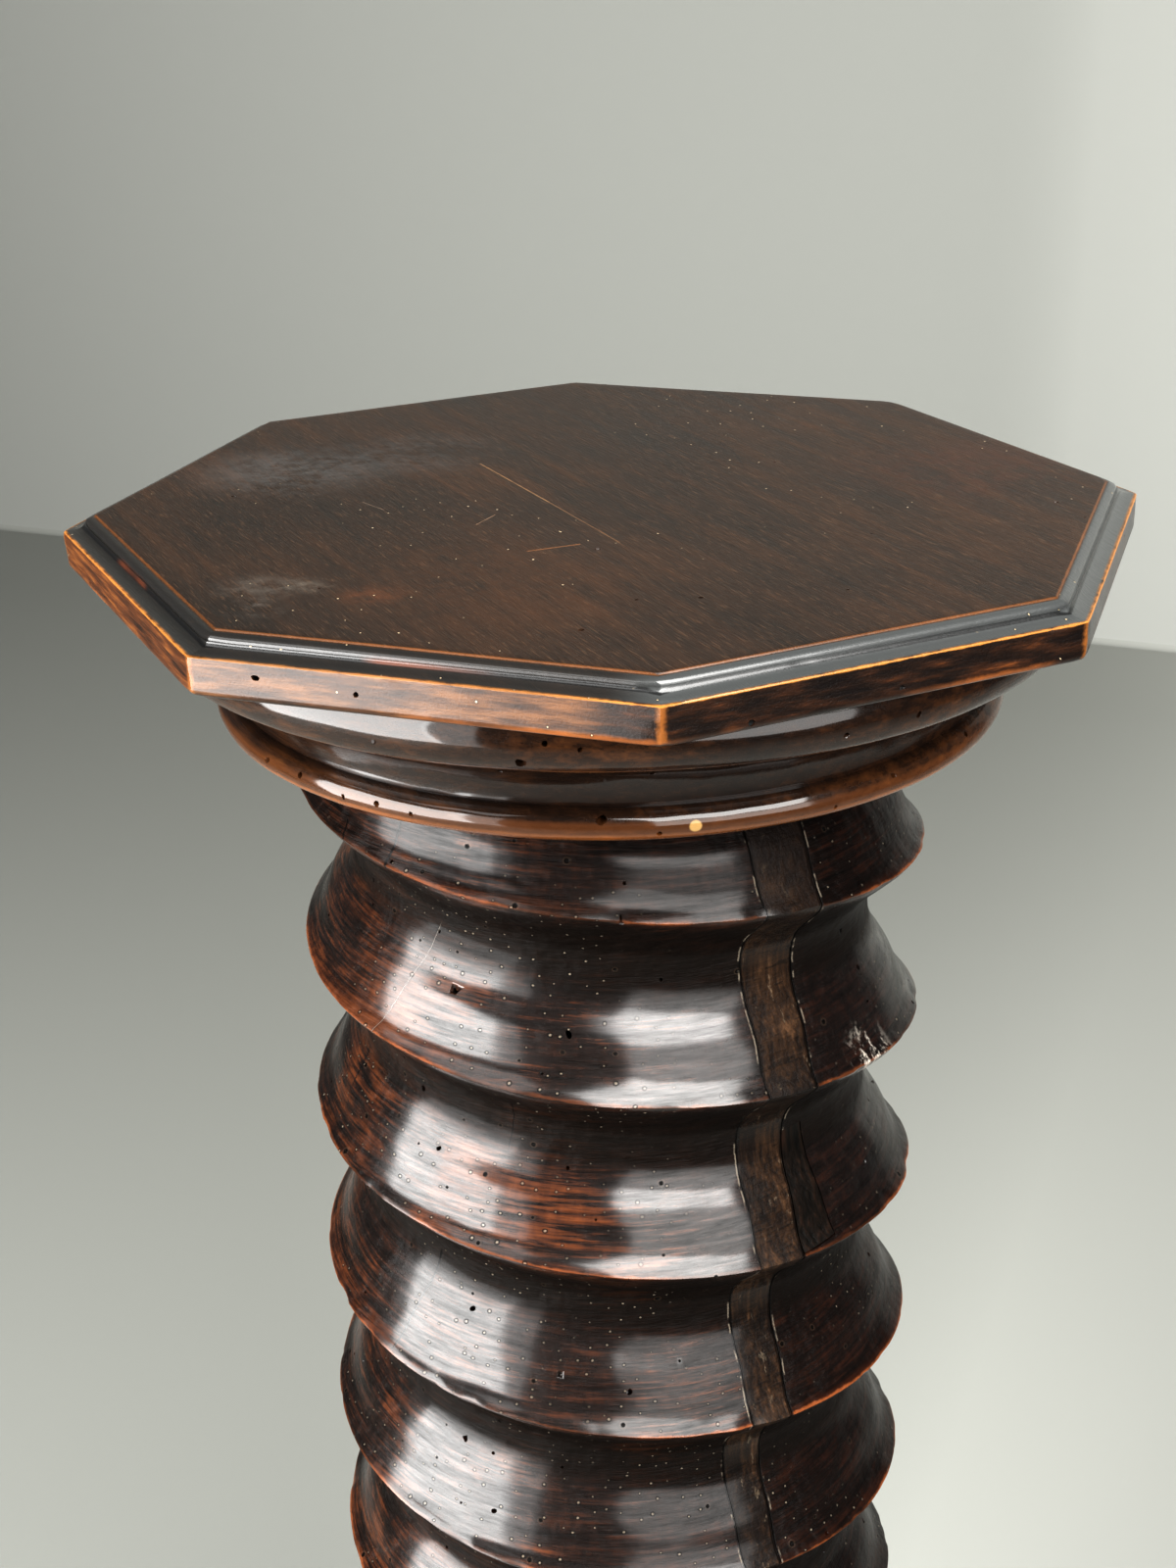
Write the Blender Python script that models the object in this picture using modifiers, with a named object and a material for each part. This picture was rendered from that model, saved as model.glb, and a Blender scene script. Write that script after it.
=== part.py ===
"""Pedestal made from an old wooden wine press screw.

An octagonal top with a moulded edge lies on a turned capital. Under it stands the
screw with its single left-hand thread. A long tapered strip fills its drying crack,
and a short wedge lies beside the strip. A turned moulding and an octagonal plinth
carry the screw.

Metres, +Z up. The origin is the centre of the underside.
"""
import math

import bmesh
import bpy
from mathutils import Matrix

SIDES = 8                       # of the top and of the plinth
GAP = 0.0003                    # clearance between pieces that touch
TOTAL_HEIGHT = 1.100

# top slab, its sizes measured square to a side
SLAB_HALF_WIDTH = 0.1804
SLAB_THICKNESS = 0.0190
SLAB_BORDER = 0.0109            # moulded band around the flat field
SLAB_STEP = 0.0006              # drop at the edge of the field
SLAB_OVOLO_WIDTH = 0.0034
SLAB_OVOLO_DROP = 0.0020
SLAB_QUIRK = 0.0005             # narrow groove under the ovolo
SLAB_COVE_DROP = 0.0026
SLAB_ARRIS = 0.0004             # worn corner above the fascia
SLAB_LOWER_ROUND = 0.0025

# turned capital
CAPITAL_HEIGHT = 0.0527
CAPITAL_TORUS_RADIUS = 0.1690
CAPITAL_TORUS_HEIGHT = 0.0193
CAPITAL_TORUS_SWELL = 0.0080
CAPITAL_FILLET = 0.0010
CAPITAL_FILLET_STEP = 0.0025
CAPITAL_NECK_RADIUS = 0.1395
CAPITAL_BEAD_RADIUS = 0.1452
CAPITAL_BEAD_HEIGHT = 0.0115
CAPITAL_BEAD_SWELL = 0.0060

# screw
CREST_RADIUS = 0.1195
ROOT_RADIUS = 0.0985
THREAD_PITCH = 0.0711
FIRST_CREST_DROP = 0.0536       # from the screw's top to the crest in the +X direction
# outline of one turn: share of the pitch below the crest, share of the thread's depth
THREAD_OUTLINE = (
    (0.0, 1.0),
    (0.18, 0.43),               # hollow lower flank
    (0.405, 0.0),               # sharp root
    (0.60, 0.13),               # steep start of the upper flank
    (0.715, 0.43),              # its belly
    (0.85, 0.63),
    (0.95, 0.81),               # flare to the crest
    (1.0, 1.0),
)
STEPS_A_TURN = 32

# strip in the drying crack, and the wedge on its right
CRACK_ANGLE = math.radians(316.9)
CRACK_DEPTH = 0.0355            # from the crest to the back of both inlays
STRIP_TOP_WIDTH = 0.0237
STRIP_END_WIDTH = 0.0045
STRIP_TOP_SHIFT = 0.0136        # sideways from the crack's mean angle, positive to the right
STRIP_END_SHIFT = -0.0184
STRIP_LENGTH = 0.7277
WEDGE_TOP_DROP = 0.1475         # from the screw's top
WEDGE_LENGTH = 0.0405
WEDGE_TOP_WIDTH = 0.0090
WEDGE_END_WIDTH = 0.0165

# turned base moulding
BASE_HEIGHT = 0.0500
BASE_BEAD_RADIUS = 0.1430
BASE_BEAD_HEIGHT = 0.0110
BASE_BEAD_SWELL = 0.0055
BASE_NECK_RADIUS = 0.1380
BASE_TORUS_RADIUS = 0.1680
BASE_TORUS_HEIGHT = 0.0200
BASE_TORUS_SWELL = 0.0080
BASE_FILLET_STEP = 0.0030

# plinth
PLINTH_HALF_WIDTH = 0.1800
PLINTH_HEIGHT = 0.0350
PLINTH_CHAMFER = 0.0040

TURNED_STEPS = 36
CURVE_STEPS = 5                 # straight pieces in a moulding's curve

slab_bottom = TOTAL_HEIGHT - SLAB_THICKNESS
capital_top = slab_bottom - GAP
screw_top = capital_top - CAPITAL_HEIGHT - GAP
base_top = PLINTH_HEIGHT + GAP + BASE_HEIGHT
screw_bottom = base_top + GAP


def clear_scene():
    for item in list(bpy.data.objects):
        bpy.data.objects.remove(item, do_unlink=True)


def new_collection(name):
    group = bpy.data.collections.new(name)
    bpy.context.scene.collection.children.link(group)
    return group


def wood(name, colour, roughness):
    """A plain wood finish."""
    finish = bpy.data.materials.new(name)
    finish.use_nodes = True
    shader = finish.node_tree.nodes["Principled BSDF"]
    shader.inputs["Base Color"].default_value = (*colour, 1.0)
    shader.inputs["Roughness"].default_value = roughness
    shader.inputs["Metallic"].default_value = 0.0
    finish.diffuse_color = (*colour, 1.0)
    return finish


def corner(half_width):
    """Centre to corner of an octagon, from its centre to a side."""
    return half_width / math.cos(math.pi / SIDES)


def swelling(radius, swell, top, bottom, reach=80.0):
    """Convex moulding: an upright half ellipse, from the top to the bottom."""
    middle, half = (top + bottom) / 2, (top - bottom) / 2
    limit = math.radians(reach)
    points = []
    for step in range(CURVE_STEPS + 2):
        turn = limit * (1 - 2 * step / (CURVE_STEPS + 1))
        height = middle + half * math.sin(turn) / math.sin(limit)
        points.append((radius - swell * (1 - math.cos(turn)), height))
    return points


def hollow(start, end, steep_first):
    """Concave quarter ellipse between two points (radius, height)."""
    across, down = end[0] - start[0], end[1] - start[1]
    points = []
    for step in range(CURVE_STEPS + 1):
        turn = math.radians(90.0) * step / CURVE_STEPS
        soon, late = math.sin(turn), 1 - math.cos(turn)
        side, drop = (late, soon) if steep_first else (soon, late)
        points.append((start[0] + across * side, start[1] + down * drop))
    return points


def outline_object(name, outline, group):
    """A line of points (radius, height) in the plane of +X."""
    mesh = bpy.data.meshes.new(name)
    mesh.from_pydata(
        [(radius, 0.0, height) for radius, height in outline],
        [(step, step + 1) for step in range(len(outline) - 1)],
        [],
    )
    item = bpy.data.objects.new(name, mesh)
    group.objects.link(item)
    return item


def spin(item, steps, smooth, turns=1, rise=0.0):
    """Screw modifier around Z."""
    screw = item.modifiers.new("spin", "SCREW")
    screw.axis = "Z"
    screw.angle = 2 * math.pi
    screw.steps = screw.render_steps = steps
    screw.iterations = turns
    screw.screw_offset = rise
    screw.use_merge_vertices = True
    screw.merge_threshold = 0.0001
    screw.use_smooth_shade = smooth
    return screw


def turned(name, outline, group, finish):
    """Round piece from its outline, closed on the axis above and below."""
    top, bottom = outline[0][1], outline[-1][1]
    item = outline_object(name, [(0.0, top)] + outline + [(0.0, bottom)], group)
    spin(item, TURNED_STEPS, True)
    item.data.materials.append(finish)
    return item


def octagonal(name, outline, group, finish):
    """Eight-sided piece from its outline square to a side, with sides facing X and Y."""
    top, bottom = outline[0][1], outline[-1][1]
    corners = [(corner(half_width), height) for half_width, height in outline]
    item = outline_object(name, [(0.0, top)] + corners + [(0.0, bottom)], group)
    spin(item, SIDES, False)
    item.rotation_euler[2] = math.pi / SIDES
    item.data.materials.append(finish)
    return item


def evaluated_mesh(item):
    """The item's mesh with its modifiers, as a new mesh; the item is removed."""
    graph = bpy.context.evaluated_depsgraph_get()
    mesh = bpy.data.meshes.new_from_object(item.evaluated_get(graph))
    mesh.transform(item.matrix_world)
    bpy.data.objects.remove(item, do_unlink=True)
    return mesh


def close_ends(shape, heights):
    """Closes each open end of a helical surface with a fan to a point on the axis."""
    middle = sum(heights) / 2
    rims = [edge for edge in shape.edges if edge.is_boundary]
    for apex in heights:
        end = [edge for edge in rims if (edge.verts[0].co.z > middle) == (apex > middle)]
        made = bmesh.ops.extrude_edge_only(shape, edges=end)["geom"]
        tips = [part for part in made if isinstance(part, bmesh.types.BMVert)]
        bmesh.ops.pointmerge(shape, verts=tips, merge_co=(0.0, 0.0, apex))


def thread_mesh(group):
    """The endless screw: one turn of outline carried round the axis, left-handed."""
    depth = CREST_RADIUS - ROOT_RADIUS
    start = screw_top - FIRST_CREST_DROP + 2 * THREAD_PITCH
    turns = math.ceil((start - screw_bottom) / THREAD_PITCH) + 2
    outline = [
        (ROOT_RADIUS + depth * out, start - THREAD_PITCH * down)
        for down, out in THREAD_OUTLINE
    ]
    item = outline_object("thread", outline, group)
    spin(item, STEPS_A_TURN, True, turns, -THREAD_PITCH)
    bpy.context.view_layer.update()
    mesh = evaluated_mesh(item)
    shape = bmesh.new()
    shape.from_mesh(mesh)
    bmesh.ops.remove_doubles(shape, verts=shape.verts, dist=0.00005)
    close_ends(shape, (start, start - THREAD_PITCH * (turns + 1)))
    bmesh.ops.recalc_face_normals(shape, faces=shape.faces)
    shape.to_mesh(mesh)
    shape.free()
    mesh.shade_smooth()
    mesh.set_sharp_from_angle(angle=math.radians(35.0))
    return mesh


def make_cutter(item):
    item.hide_render = True
    item.display_type = "WIRE"
    return item


def end_box(group):
    """Box whose top and underside are the screw's flat ends."""
    shape = bmesh.new()
    bmesh.ops.create_cube(shape, size=1.0)
    width = 3 * CREST_RADIUS
    bmesh.ops.scale(shape, vec=(width, width, screw_top - screw_bottom), verts=shape.verts)
    middle = (screw_top + screw_bottom) / 2
    bmesh.ops.translate(shape, vec=(0.0, 0.0, middle), verts=shape.verts)
    mesh = bpy.data.meshes.new("end_box")
    shape.to_mesh(mesh)
    shape.free()
    item = bpy.data.objects.new("end_box", mesh)
    group.objects.link(item)
    return make_cutter(item)


def inlay_prism(name, outline, deeper, group):
    """Prism that stands out radially at the crack; its outline is (sideways, height)."""
    back = CREST_RADIUS - CRACK_DEPTH - deeper
    front = 1.1 * CREST_RADIUS
    curve = bpy.data.curves.new(name, "CURVE")
    curve.dimensions = "2D"
    curve.fill_mode = "BOTH"
    curve.extrude = (front - back) / 2
    line = curve.splines.new("POLY")
    line.points.add(len(outline) - 1)
    for point, (sideways, height) in zip(line.points, outline):
        point.co = (sideways, height, 0.0, 1.0)
    line.use_cyclic_u = True
    item = bpy.data.objects.new(name, curve)
    group.objects.link(item)
    cosine, sine = math.cos(CRACK_ANGLE), math.sin(CRACK_ANGLE)
    reach = (front + back) / 2
    item.matrix_world = Matrix((
        (-sine, 0.0, cosine, reach * cosine),
        (cosine, 0.0, sine, reach * sine),
        (0.0, 1.0, 0.0, 0.0),
        (0.0, 0.0, 0.0, 1.0),
    ))
    bpy.context.view_layer.update()
    mesh = evaluated_mesh(item)
    shape = bmesh.new()
    shape.from_mesh(mesh)
    bmesh.ops.remove_doubles(shape, verts=shape.verts, dist=0.00001)
    bmesh.ops.recalc_face_normals(shape, faces=shape.faces)
    shape.to_mesh(mesh)
    shape.free()
    prism = bpy.data.objects.new(name, mesh)
    group.objects.link(prism)
    return make_cutter(prism)


def strip_place(height):
    """Sideways middle and half width of the strip at a height."""
    share = (screw_top - height) / STRIP_LENGTH
    middle = STRIP_TOP_SHIFT + (STRIP_END_SHIFT - STRIP_TOP_SHIFT) * share
    half = (STRIP_TOP_WIDTH + (STRIP_END_WIDTH - STRIP_TOP_WIDTH) * share) / 2
    return middle, half


def strip_outline(margin):
    """Outline of the strip, widened by the margin."""
    top, bottom = screw_top + SLAB_THICKNESS, screw_top - STRIP_LENGTH - margin
    above, below = strip_place(top), strip_place(bottom)
    return [
        (above[0] - above[1] - margin, top),
        (below[0] - below[1] - margin, bottom),
        (below[0] + below[1] + margin, bottom),
        (above[0] + above[1] + margin, top),
    ]


def wedge_outline(margin):
    """Outline of the wedge, one clearance to the right of the strip's own slot."""
    high = screw_top - WEDGE_TOP_DROP
    low = high - WEDGE_LENGTH
    corners = []
    for height, width in ((high, WEDGE_TOP_WIDTH), (low, WEDGE_END_WIDTH)):
        middle, half = strip_place(height)
        left = middle + half + GAP
        corners.append((left, left + width + margin))
    return [
        (corners[0][0] - margin, high + margin),
        (corners[1][0] - margin, low - margin),
        (corners[1][1], low - margin),
        (corners[0][1], high + margin),
    ]


def cut(item, cutter, operation):
    step = item.modifiers.new(cutter.name, "BOOLEAN")
    step.operation = operation
    step.object = cutter
    step.solver = "EXACT"


def screw_piece(name, mesh, group, finish, steps):
    """A piece of the screw: the endless thread, cut as the steps say."""
    item = bpy.data.objects.new(name, mesh.copy())
    item.data.materials.clear()
    item.data.materials.append(finish)
    group.objects.link(item)
    for cutter, operation in steps:
        cut(item, cutter, operation)
    return item


def slab_outline():
    """Moulded edge of the top: step, ovolo, quirk, cove, fascia with a rounded lower edge."""
    field = SLAB_HALF_WIDTH - SLAB_BORDER
    step_foot = TOTAL_HEIGHT - SLAB_STEP
    outline = [(field, TOTAL_HEIGHT), (field + SLAB_STEP / 2, step_foot)]
    ovolo_start = field + SLAB_STEP / 2
    for step in range(1, CURVE_STEPS):
        turn = math.radians(90.0) * step / (CURVE_STEPS - 1)
        outline.append((
            ovolo_start + SLAB_OVOLO_WIDTH * math.sin(turn),
            step_foot - SLAB_OVOLO_DROP * (1 - math.cos(turn)),
        ))
    quirk_edge, quirk_height = outline[-1]
    cove_start = (quirk_edge + SLAB_QUIRK, quirk_height - SLAB_QUIRK)
    cove_end = (SLAB_HALF_WIDTH - SLAB_ARRIS, cove_start[1] - SLAB_COVE_DROP)
    outline.append((quirk_edge, quirk_height - SLAB_QUIRK))
    outline += hollow(cove_start, cove_end, True)
    outline.append((SLAB_HALF_WIDTH, cove_end[1] - SLAB_ARRIS))
    for step in range(CURVE_STEPS - 1):
        turn = math.radians(90.0) * step / (CURVE_STEPS - 2)
        outline.append((
            SLAB_HALF_WIDTH - SLAB_LOWER_ROUND * (1 - math.cos(turn)),
            slab_bottom + SLAB_LOWER_ROUND * (1 - math.sin(turn)),
        ))
    return outline


def capital_outline():
    """Torus, fillet, cove and bead, from the slab down."""
    torus_foot = capital_top - CAPITAL_TORUS_HEIGHT
    outline = swelling(CAPITAL_TORUS_RADIUS, CAPITAL_TORUS_SWELL, capital_top, torus_foot, 65.0)
    arris = outline[-1][0]
    bead_top = capital_top - CAPITAL_HEIGHT + CAPITAL_BEAD_HEIGHT
    cove_start = (arris - CAPITAL_FILLET_STEP, torus_foot - CAPITAL_FILLET)
    outline += hollow(cove_start, (CAPITAL_NECK_RADIUS, bead_top), False)
    bead_foot = bead_top - CAPITAL_BEAD_HEIGHT
    outline += swelling(CAPITAL_BEAD_RADIUS, CAPITAL_BEAD_SWELL, bead_top, bead_foot)[1:]
    return outline


def base_outline():
    """Bead, cove and torus, from the screw down."""
    bead_foot = base_top - BASE_BEAD_HEIGHT
    outline = swelling(BASE_BEAD_RADIUS, BASE_BEAD_SWELL, base_top, bead_foot)
    torus_foot = base_top - BASE_HEIGHT
    torus_top = torus_foot + BASE_TORUS_HEIGHT
    torus = swelling(BASE_TORUS_RADIUS, BASE_TORUS_SWELL, torus_top, torus_foot, 65.0)
    cove_end = (torus[0][0] - BASE_FILLET_STEP, torus_top)
    outline += hollow((BASE_NECK_RADIUS, bead_foot), cove_end, True)[1:]
    return outline + torus


def plinth_outline():
    """Plain block with a chamfered upper edge."""
    return [
        (PLINTH_HALF_WIDTH - PLINTH_CHAMFER, PLINTH_HEIGHT),
        (PLINTH_HALF_WIDTH, PLINTH_HEIGHT - PLINTH_CHAMFER),
        (PLINTH_HALF_WIDTH, 0.0),
    ]


def build():
    clear_scene()
    pieces = new_collection("wine press screw pedestal")
    cutters = new_collection("cutters")

    top_wood = wood("polished top", (0.060, 0.026, 0.014), 0.32)
    turned_wood = wood("turned moulding", (0.085, 0.036, 0.017), 0.35)
    screw_wood = wood("old screw", (0.050, 0.018, 0.010), 0.30)
    strip_wood = wood("let-in strip", (0.095, 0.060, 0.042), 0.45)
    wedge_wood = wood("dark wedge", (0.022, 0.012, 0.010), 0.40)

    octagonal("top_slab", slab_outline(), pieces, top_wood)
    turned("capital", capital_outline(), pieces, turned_wood)
    turned("base_moulding", base_outline(), pieces, turned_wood)
    octagonal("plinth", plinth_outline(), pieces, top_wood)

    thread = thread_mesh(cutters)
    ends = end_box(cutters)
    strip = inlay_prism("strip_prism", strip_outline(0.0), 0.0, cutters)
    strip_slot = inlay_prism("strip_slot", strip_outline(GAP), GAP, cutters)
    wedge = inlay_prism("wedge_prism", wedge_outline(0.0), 0.0, cutters)
    wedge_slot = inlay_prism("wedge_slot", wedge_outline(GAP), GAP, cutters)
    screw_piece("screw_shaft", thread, pieces, screw_wood, (
        (ends, "INTERSECT"), (strip_slot, "DIFFERENCE"), (wedge_slot, "DIFFERENCE")))
    screw_piece("crack_filler", thread, pieces, strip_wood, (
        (ends, "INTERSECT"), (strip, "INTERSECT")))
    screw_piece("wedge_patch", thread, pieces, wedge_wood, (
        (ends, "INTERSECT"), (wedge, "INTERSECT")))
    bpy.data.meshes.remove(thread)


build()
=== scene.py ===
import math

import bmesh
import bpy
import numpy as np
from mathutils import Matrix, Vector
from mathutils.bvhtree import BVHTree


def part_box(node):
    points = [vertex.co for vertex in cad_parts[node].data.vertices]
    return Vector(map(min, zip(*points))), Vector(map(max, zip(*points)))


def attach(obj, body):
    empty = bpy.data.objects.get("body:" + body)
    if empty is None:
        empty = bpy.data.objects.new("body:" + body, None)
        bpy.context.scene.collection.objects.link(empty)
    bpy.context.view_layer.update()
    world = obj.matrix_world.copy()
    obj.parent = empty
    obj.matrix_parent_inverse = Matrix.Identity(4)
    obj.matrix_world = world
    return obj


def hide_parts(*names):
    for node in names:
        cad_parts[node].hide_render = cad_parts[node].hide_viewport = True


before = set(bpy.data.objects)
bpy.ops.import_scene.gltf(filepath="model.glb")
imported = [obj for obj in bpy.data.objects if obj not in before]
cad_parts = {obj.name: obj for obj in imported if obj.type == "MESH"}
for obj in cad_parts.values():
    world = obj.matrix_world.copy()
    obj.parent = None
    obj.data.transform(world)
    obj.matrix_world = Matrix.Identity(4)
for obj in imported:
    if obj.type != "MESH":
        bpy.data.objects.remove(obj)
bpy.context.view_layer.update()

# the photograph's camera: it looks at a point on the screw from above, then the whole view is turned
# about the upright axis so that two sides of the octagon face X and Y
view = {
    "lens": 50.18,  # millimetres, on a sensor 36 mm high
    "sensor": 36.0,
    "target": (-0.0089, 0.0, 0.9870),
    "distance": 0.8346,
    "elevation": 23.32,  # degrees above the horizon
    "roll": -1.00,
    "turn": 18.9,
    "pixelsWide": 1200,
    "pixelsHigh": 1600,
}


# Camera place: the target plus the distance along the elevation, rolled about its own axis and turned
# about Z.
def cameraMatrix():
    lift = math.radians(view["elevation"])
    roll = math.radians(view["roll"])
    back = Vector((0.0, -math.cos(lift), math.sin(lift)))
    right = Vector((1.0, 0.0, 0.0))
    up = back.cross(right)
    place = Vector(view["target"]) + back * view["distance"]
    rolledRight = right * math.cos(roll) + up * math.sin(roll)
    rolledUp = up * math.cos(roll) - right * math.sin(roll)
    columns = (rolledRight, rolledUp, back, place)
    matrix = Matrix([[column[row] for column in columns] for row in range(3)] + [[0, 0, 0, 1]])
    return Matrix.Rotation(math.radians(view["turn"]), 4, "Z") @ matrix


# Direction of a pixel: its offset from the picture's middle over the focal length, in camera axes.
def pixelRay(pixel):
    focal = view["lens"] / view["sensor"] * view["pixelsHigh"]
    across = (pixel[0] - view["pixelsWide"] / 2) / focal
    down = (pixel[1] - view["pixelsHigh"] / 2) / focal
    matrix = cameraMatrix()
    return matrix.translation, (matrix.to_3x3() @ Vector((across, -down, -1.0))).normalized()


# Point of the horizontal plane at the height that a pixel shows: origin + ray * (height - z) / slope.
def pixelOnLevel(pixel, height):
    origin, ray = pixelRay(pixel)
    return origin + ray * ((height - origin.z) / ray.z)


# Degrees of the photograph, 0 towards the camera and growing to its right, as degrees about Z.
def photoAngle(degrees):
    return degrees - 90.0 + view["turn"]


# Smooth random field from -1 to 1: random numbers on a lattice of the given spacing, blended between
# the eight corners of a cell with weights that start and end level.
def lumps(points, spacing, seed):
    lattice = np.random.default_rng(seed).uniform(-1.0, 1.0, (24, 24, 24))
    place = np.asarray(points) / np.asarray(spacing) + 240.37
    cell = np.floor(place).astype(int)
    share = place - cell
    share = share * share * (3 - 2 * share)
    total = np.zeros(place.shape[:-1])
    for corner in np.ndindex(2, 2, 2):
        weight = np.ones(place.shape[:-1])
        for axis in range(3):
            part = share[..., axis]
            weight = weight * (part if corner[axis] else 1 - part)
        index = (cell + corner) % 24
        total += weight * lattice[index[..., 0], index[..., 1], index[..., 2]]
    return total


# Smooth curve through points: between two of them a cubic whose slopes are those of the neighbours'
# chord.
def throughPoints(where, places, values):
    places, values = np.asarray(places, float), np.asarray(values, float)
    slopes = np.gradient(values, places)
    left = np.clip(np.searchsorted(places, where, side="right") - 1, 0, len(places) - 2)
    gap = places[left + 1] - places[left]
    t = (where - places[left]) / gap
    return (
        values[left] * (1 + 2 * t) * (1 - t) ** 2
        + values[left + 1] * t * t * (3 - 2 * t)
        + slopes[left] * gap * t * (1 - t) ** 2
        + slopes[left + 1] * gap * t * t * (t - 1)
    )


# 0 below low, 1 above high, an S-shaped rise between them.
def rise(value, low, high):
    t = np.clip((value - low) / (high - low), 0.0, 1.0)
    return t * t * (3 - 2 * t)


# A mesh from an array of points and the point numbers of each face.
def newMesh(name, points, faces):
    mesh = bpy.data.meshes.new(name)
    mesh.from_pydata(points.reshape(-1, 3).tolist(), [], [face.tolist() for face in faces])
    mesh.validate()
    return mesh


# An object in the scene that carries a mesh, light or camera.
def newObject(name, data):
    item = bpy.data.objects.new(name, data)
    bpy.context.scene.collection.objects.link(item)
    return item


# Heights of the underside and top of a CAD node.
def heightsOf(node):
    low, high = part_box(node)
    return float(low[2]), float(high[2])


# Turns a closed mesh's faces outward, after the step where one is given.
def faceOutward(mesh, step=None):
    shape = bmesh.new()
    shape.from_mesh(mesh)
    if step:
        step(shape)
    bmesh.ops.recalc_face_normals(shape, faces=shape.faces)
    shape.to_mesh(mesh)
    shape.free()
    return mesh


# Quadrilaterals between neighbouring rows of a grid of point numbers, whose columns may run round, and
# whose corners may go the other way.
def gridQuads(index, closed, flipped=False):
    here = index if closed else index[..., :-1]
    following = np.roll(index, -1, axis=-1) if closed else index[..., 1:]
    corners = (here[..., :-1, :], here[..., 1:, :], following[..., 1:, :], following[..., :-1, :])
    if flipped:
        corners = (corners[0], corners[3], corners[2], corners[1])
    return np.stack(corners, axis=-1).reshape(-1, 4)


# Points at angles round the axis, from radii and heights.
def aroundAxis(radius, angle, height):
    return np.stack((radius * np.cos(angle), radius * np.sin(angle), height), axis=-1)


# Round or ring-shaped surface: rings of points from the top down, each closed on itself, with a point
# on the axis above the first ring and one below the last.
def ringedMesh(name, rings, topPole, bottomPole):
    rows, columns = rings.shape[:2]
    index = np.arange(rows * columns).reshape(rows, columns)
    nextOne = np.roll(index, -1, axis=1)
    quads = gridQuads(index, True)
    top, bottom = rows * columns, rows * columns + 1
    caps = [
        np.stack((np.full(columns, top), index[0], nextOne[0]), axis=-1),
        np.stack((np.full(columns, bottom), nextOne[-1], index[-1]), axis=-1),
    ]
    points = np.concatenate((rings.reshape(-1, 3), [topPole, bottomPole]))
    return newMesh(name, points, list(quads) + list(caps[0]) + list(caps[1]))


# Many small closed borings in one mesh. Each is rings of points round its own direction: a mouth just
# above the surface, the wall, and a narrower bottom, with radii that waver from point to point.
def boringsMesh(name, centres, directions, radii, depths, sides, seed):
    random = np.random.default_rng(seed)
    count = len(centres)
    helper = np.where(np.abs(directions[:, 2:3]) < 0.8, [[0.0, 0.0, 1.0]], [[1.0, 0.0, 0.0]])
    across = np.cross(directions, helper)
    across /= np.linalg.norm(across, axis=1, keepdims=True)
    other = np.cross(directions, across)
    angle = np.arange(sides) / sides * 2 * np.pi
    waver = 1 + random.uniform(-0.13, 0.13, (count, 1, sides))
    stretch = random.uniform(0.0, 0.25, (count, 1, 1))
    turned = random.uniform(0.0, np.pi, (count, 1, 1))
    waver = waver * (1 + stretch * np.cos(2 * (angle - turned)))
    widths = np.array([1.25, 1.0, 0.92, 0.55])[None, :, None]
    levels = np.array([-0.45, 0.12, 0.85, 1.0])[None, :, None]
    reach = radii[:, None, None] * widths * waver
    along = np.where(levels < 0.5, levels * radii[:, None, None], levels * depths[:, None, None])
    points = (
        centres[:, None, None]
        + directions[:, None, None] * along[..., None]
        + across[:, None, None] * (reach * np.cos(angle))[..., None]
        + other[:, None, None] * (reach * np.sin(angle))[..., None]
    )
    index = np.arange(count * 4 * sides).reshape(count, 4, sides)
    walls = gridQuads(index, True, True)
    return faceOutward(newMesh(name, points, list(walls) + list(index[:, 0, ::-1]) + list(index[:, -1])))


# A mesh cut by other meshes, with exact booleans.
def cutMesh(mesh, cuts):
    item = newObject("blank", mesh)
    tools = []
    for operation, tool in cuts:
        helper = newObject("tool", tool)
        tools.append(helper)
        step = item.modifiers.new("cut", "BOOLEAN")
        step.operation = operation
        step.solver = "EXACT"
        step.object = helper
    graph = bpy.context.evaluated_depsgraph_get()
    result = bpy.data.meshes.new_from_object(item.evaluated_get(graph))
    for helper in [item] + tools:
        bpy.data.objects.remove(helper, do_unlink=True)
    return result


# Centres and normals of a mesh's faces, as arrays.
def faceArrays(mesh):
    arrays = []
    for name, width in (("center", 3), ("normal", 3), ("area", 1)):
        values = np.empty(len(mesh.polygons) * width)
        mesh.polygons.foreach_get(name, values)
        arrays.append(values.reshape(-1, width) if width > 1 else values)
    return arrays


# Keeps the points that stay the given distance away from all the kept ones before them.
def spacedOut(points, distance, taken):
    kept = []
    others = [np.asarray(point) for point in taken]
    for index, point in enumerate(points):
        if not others or np.min(np.linalg.norm(np.array(others) - point, axis=1)) > distance:
            kept.append(index)
            others.append(point)
    return kept


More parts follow.
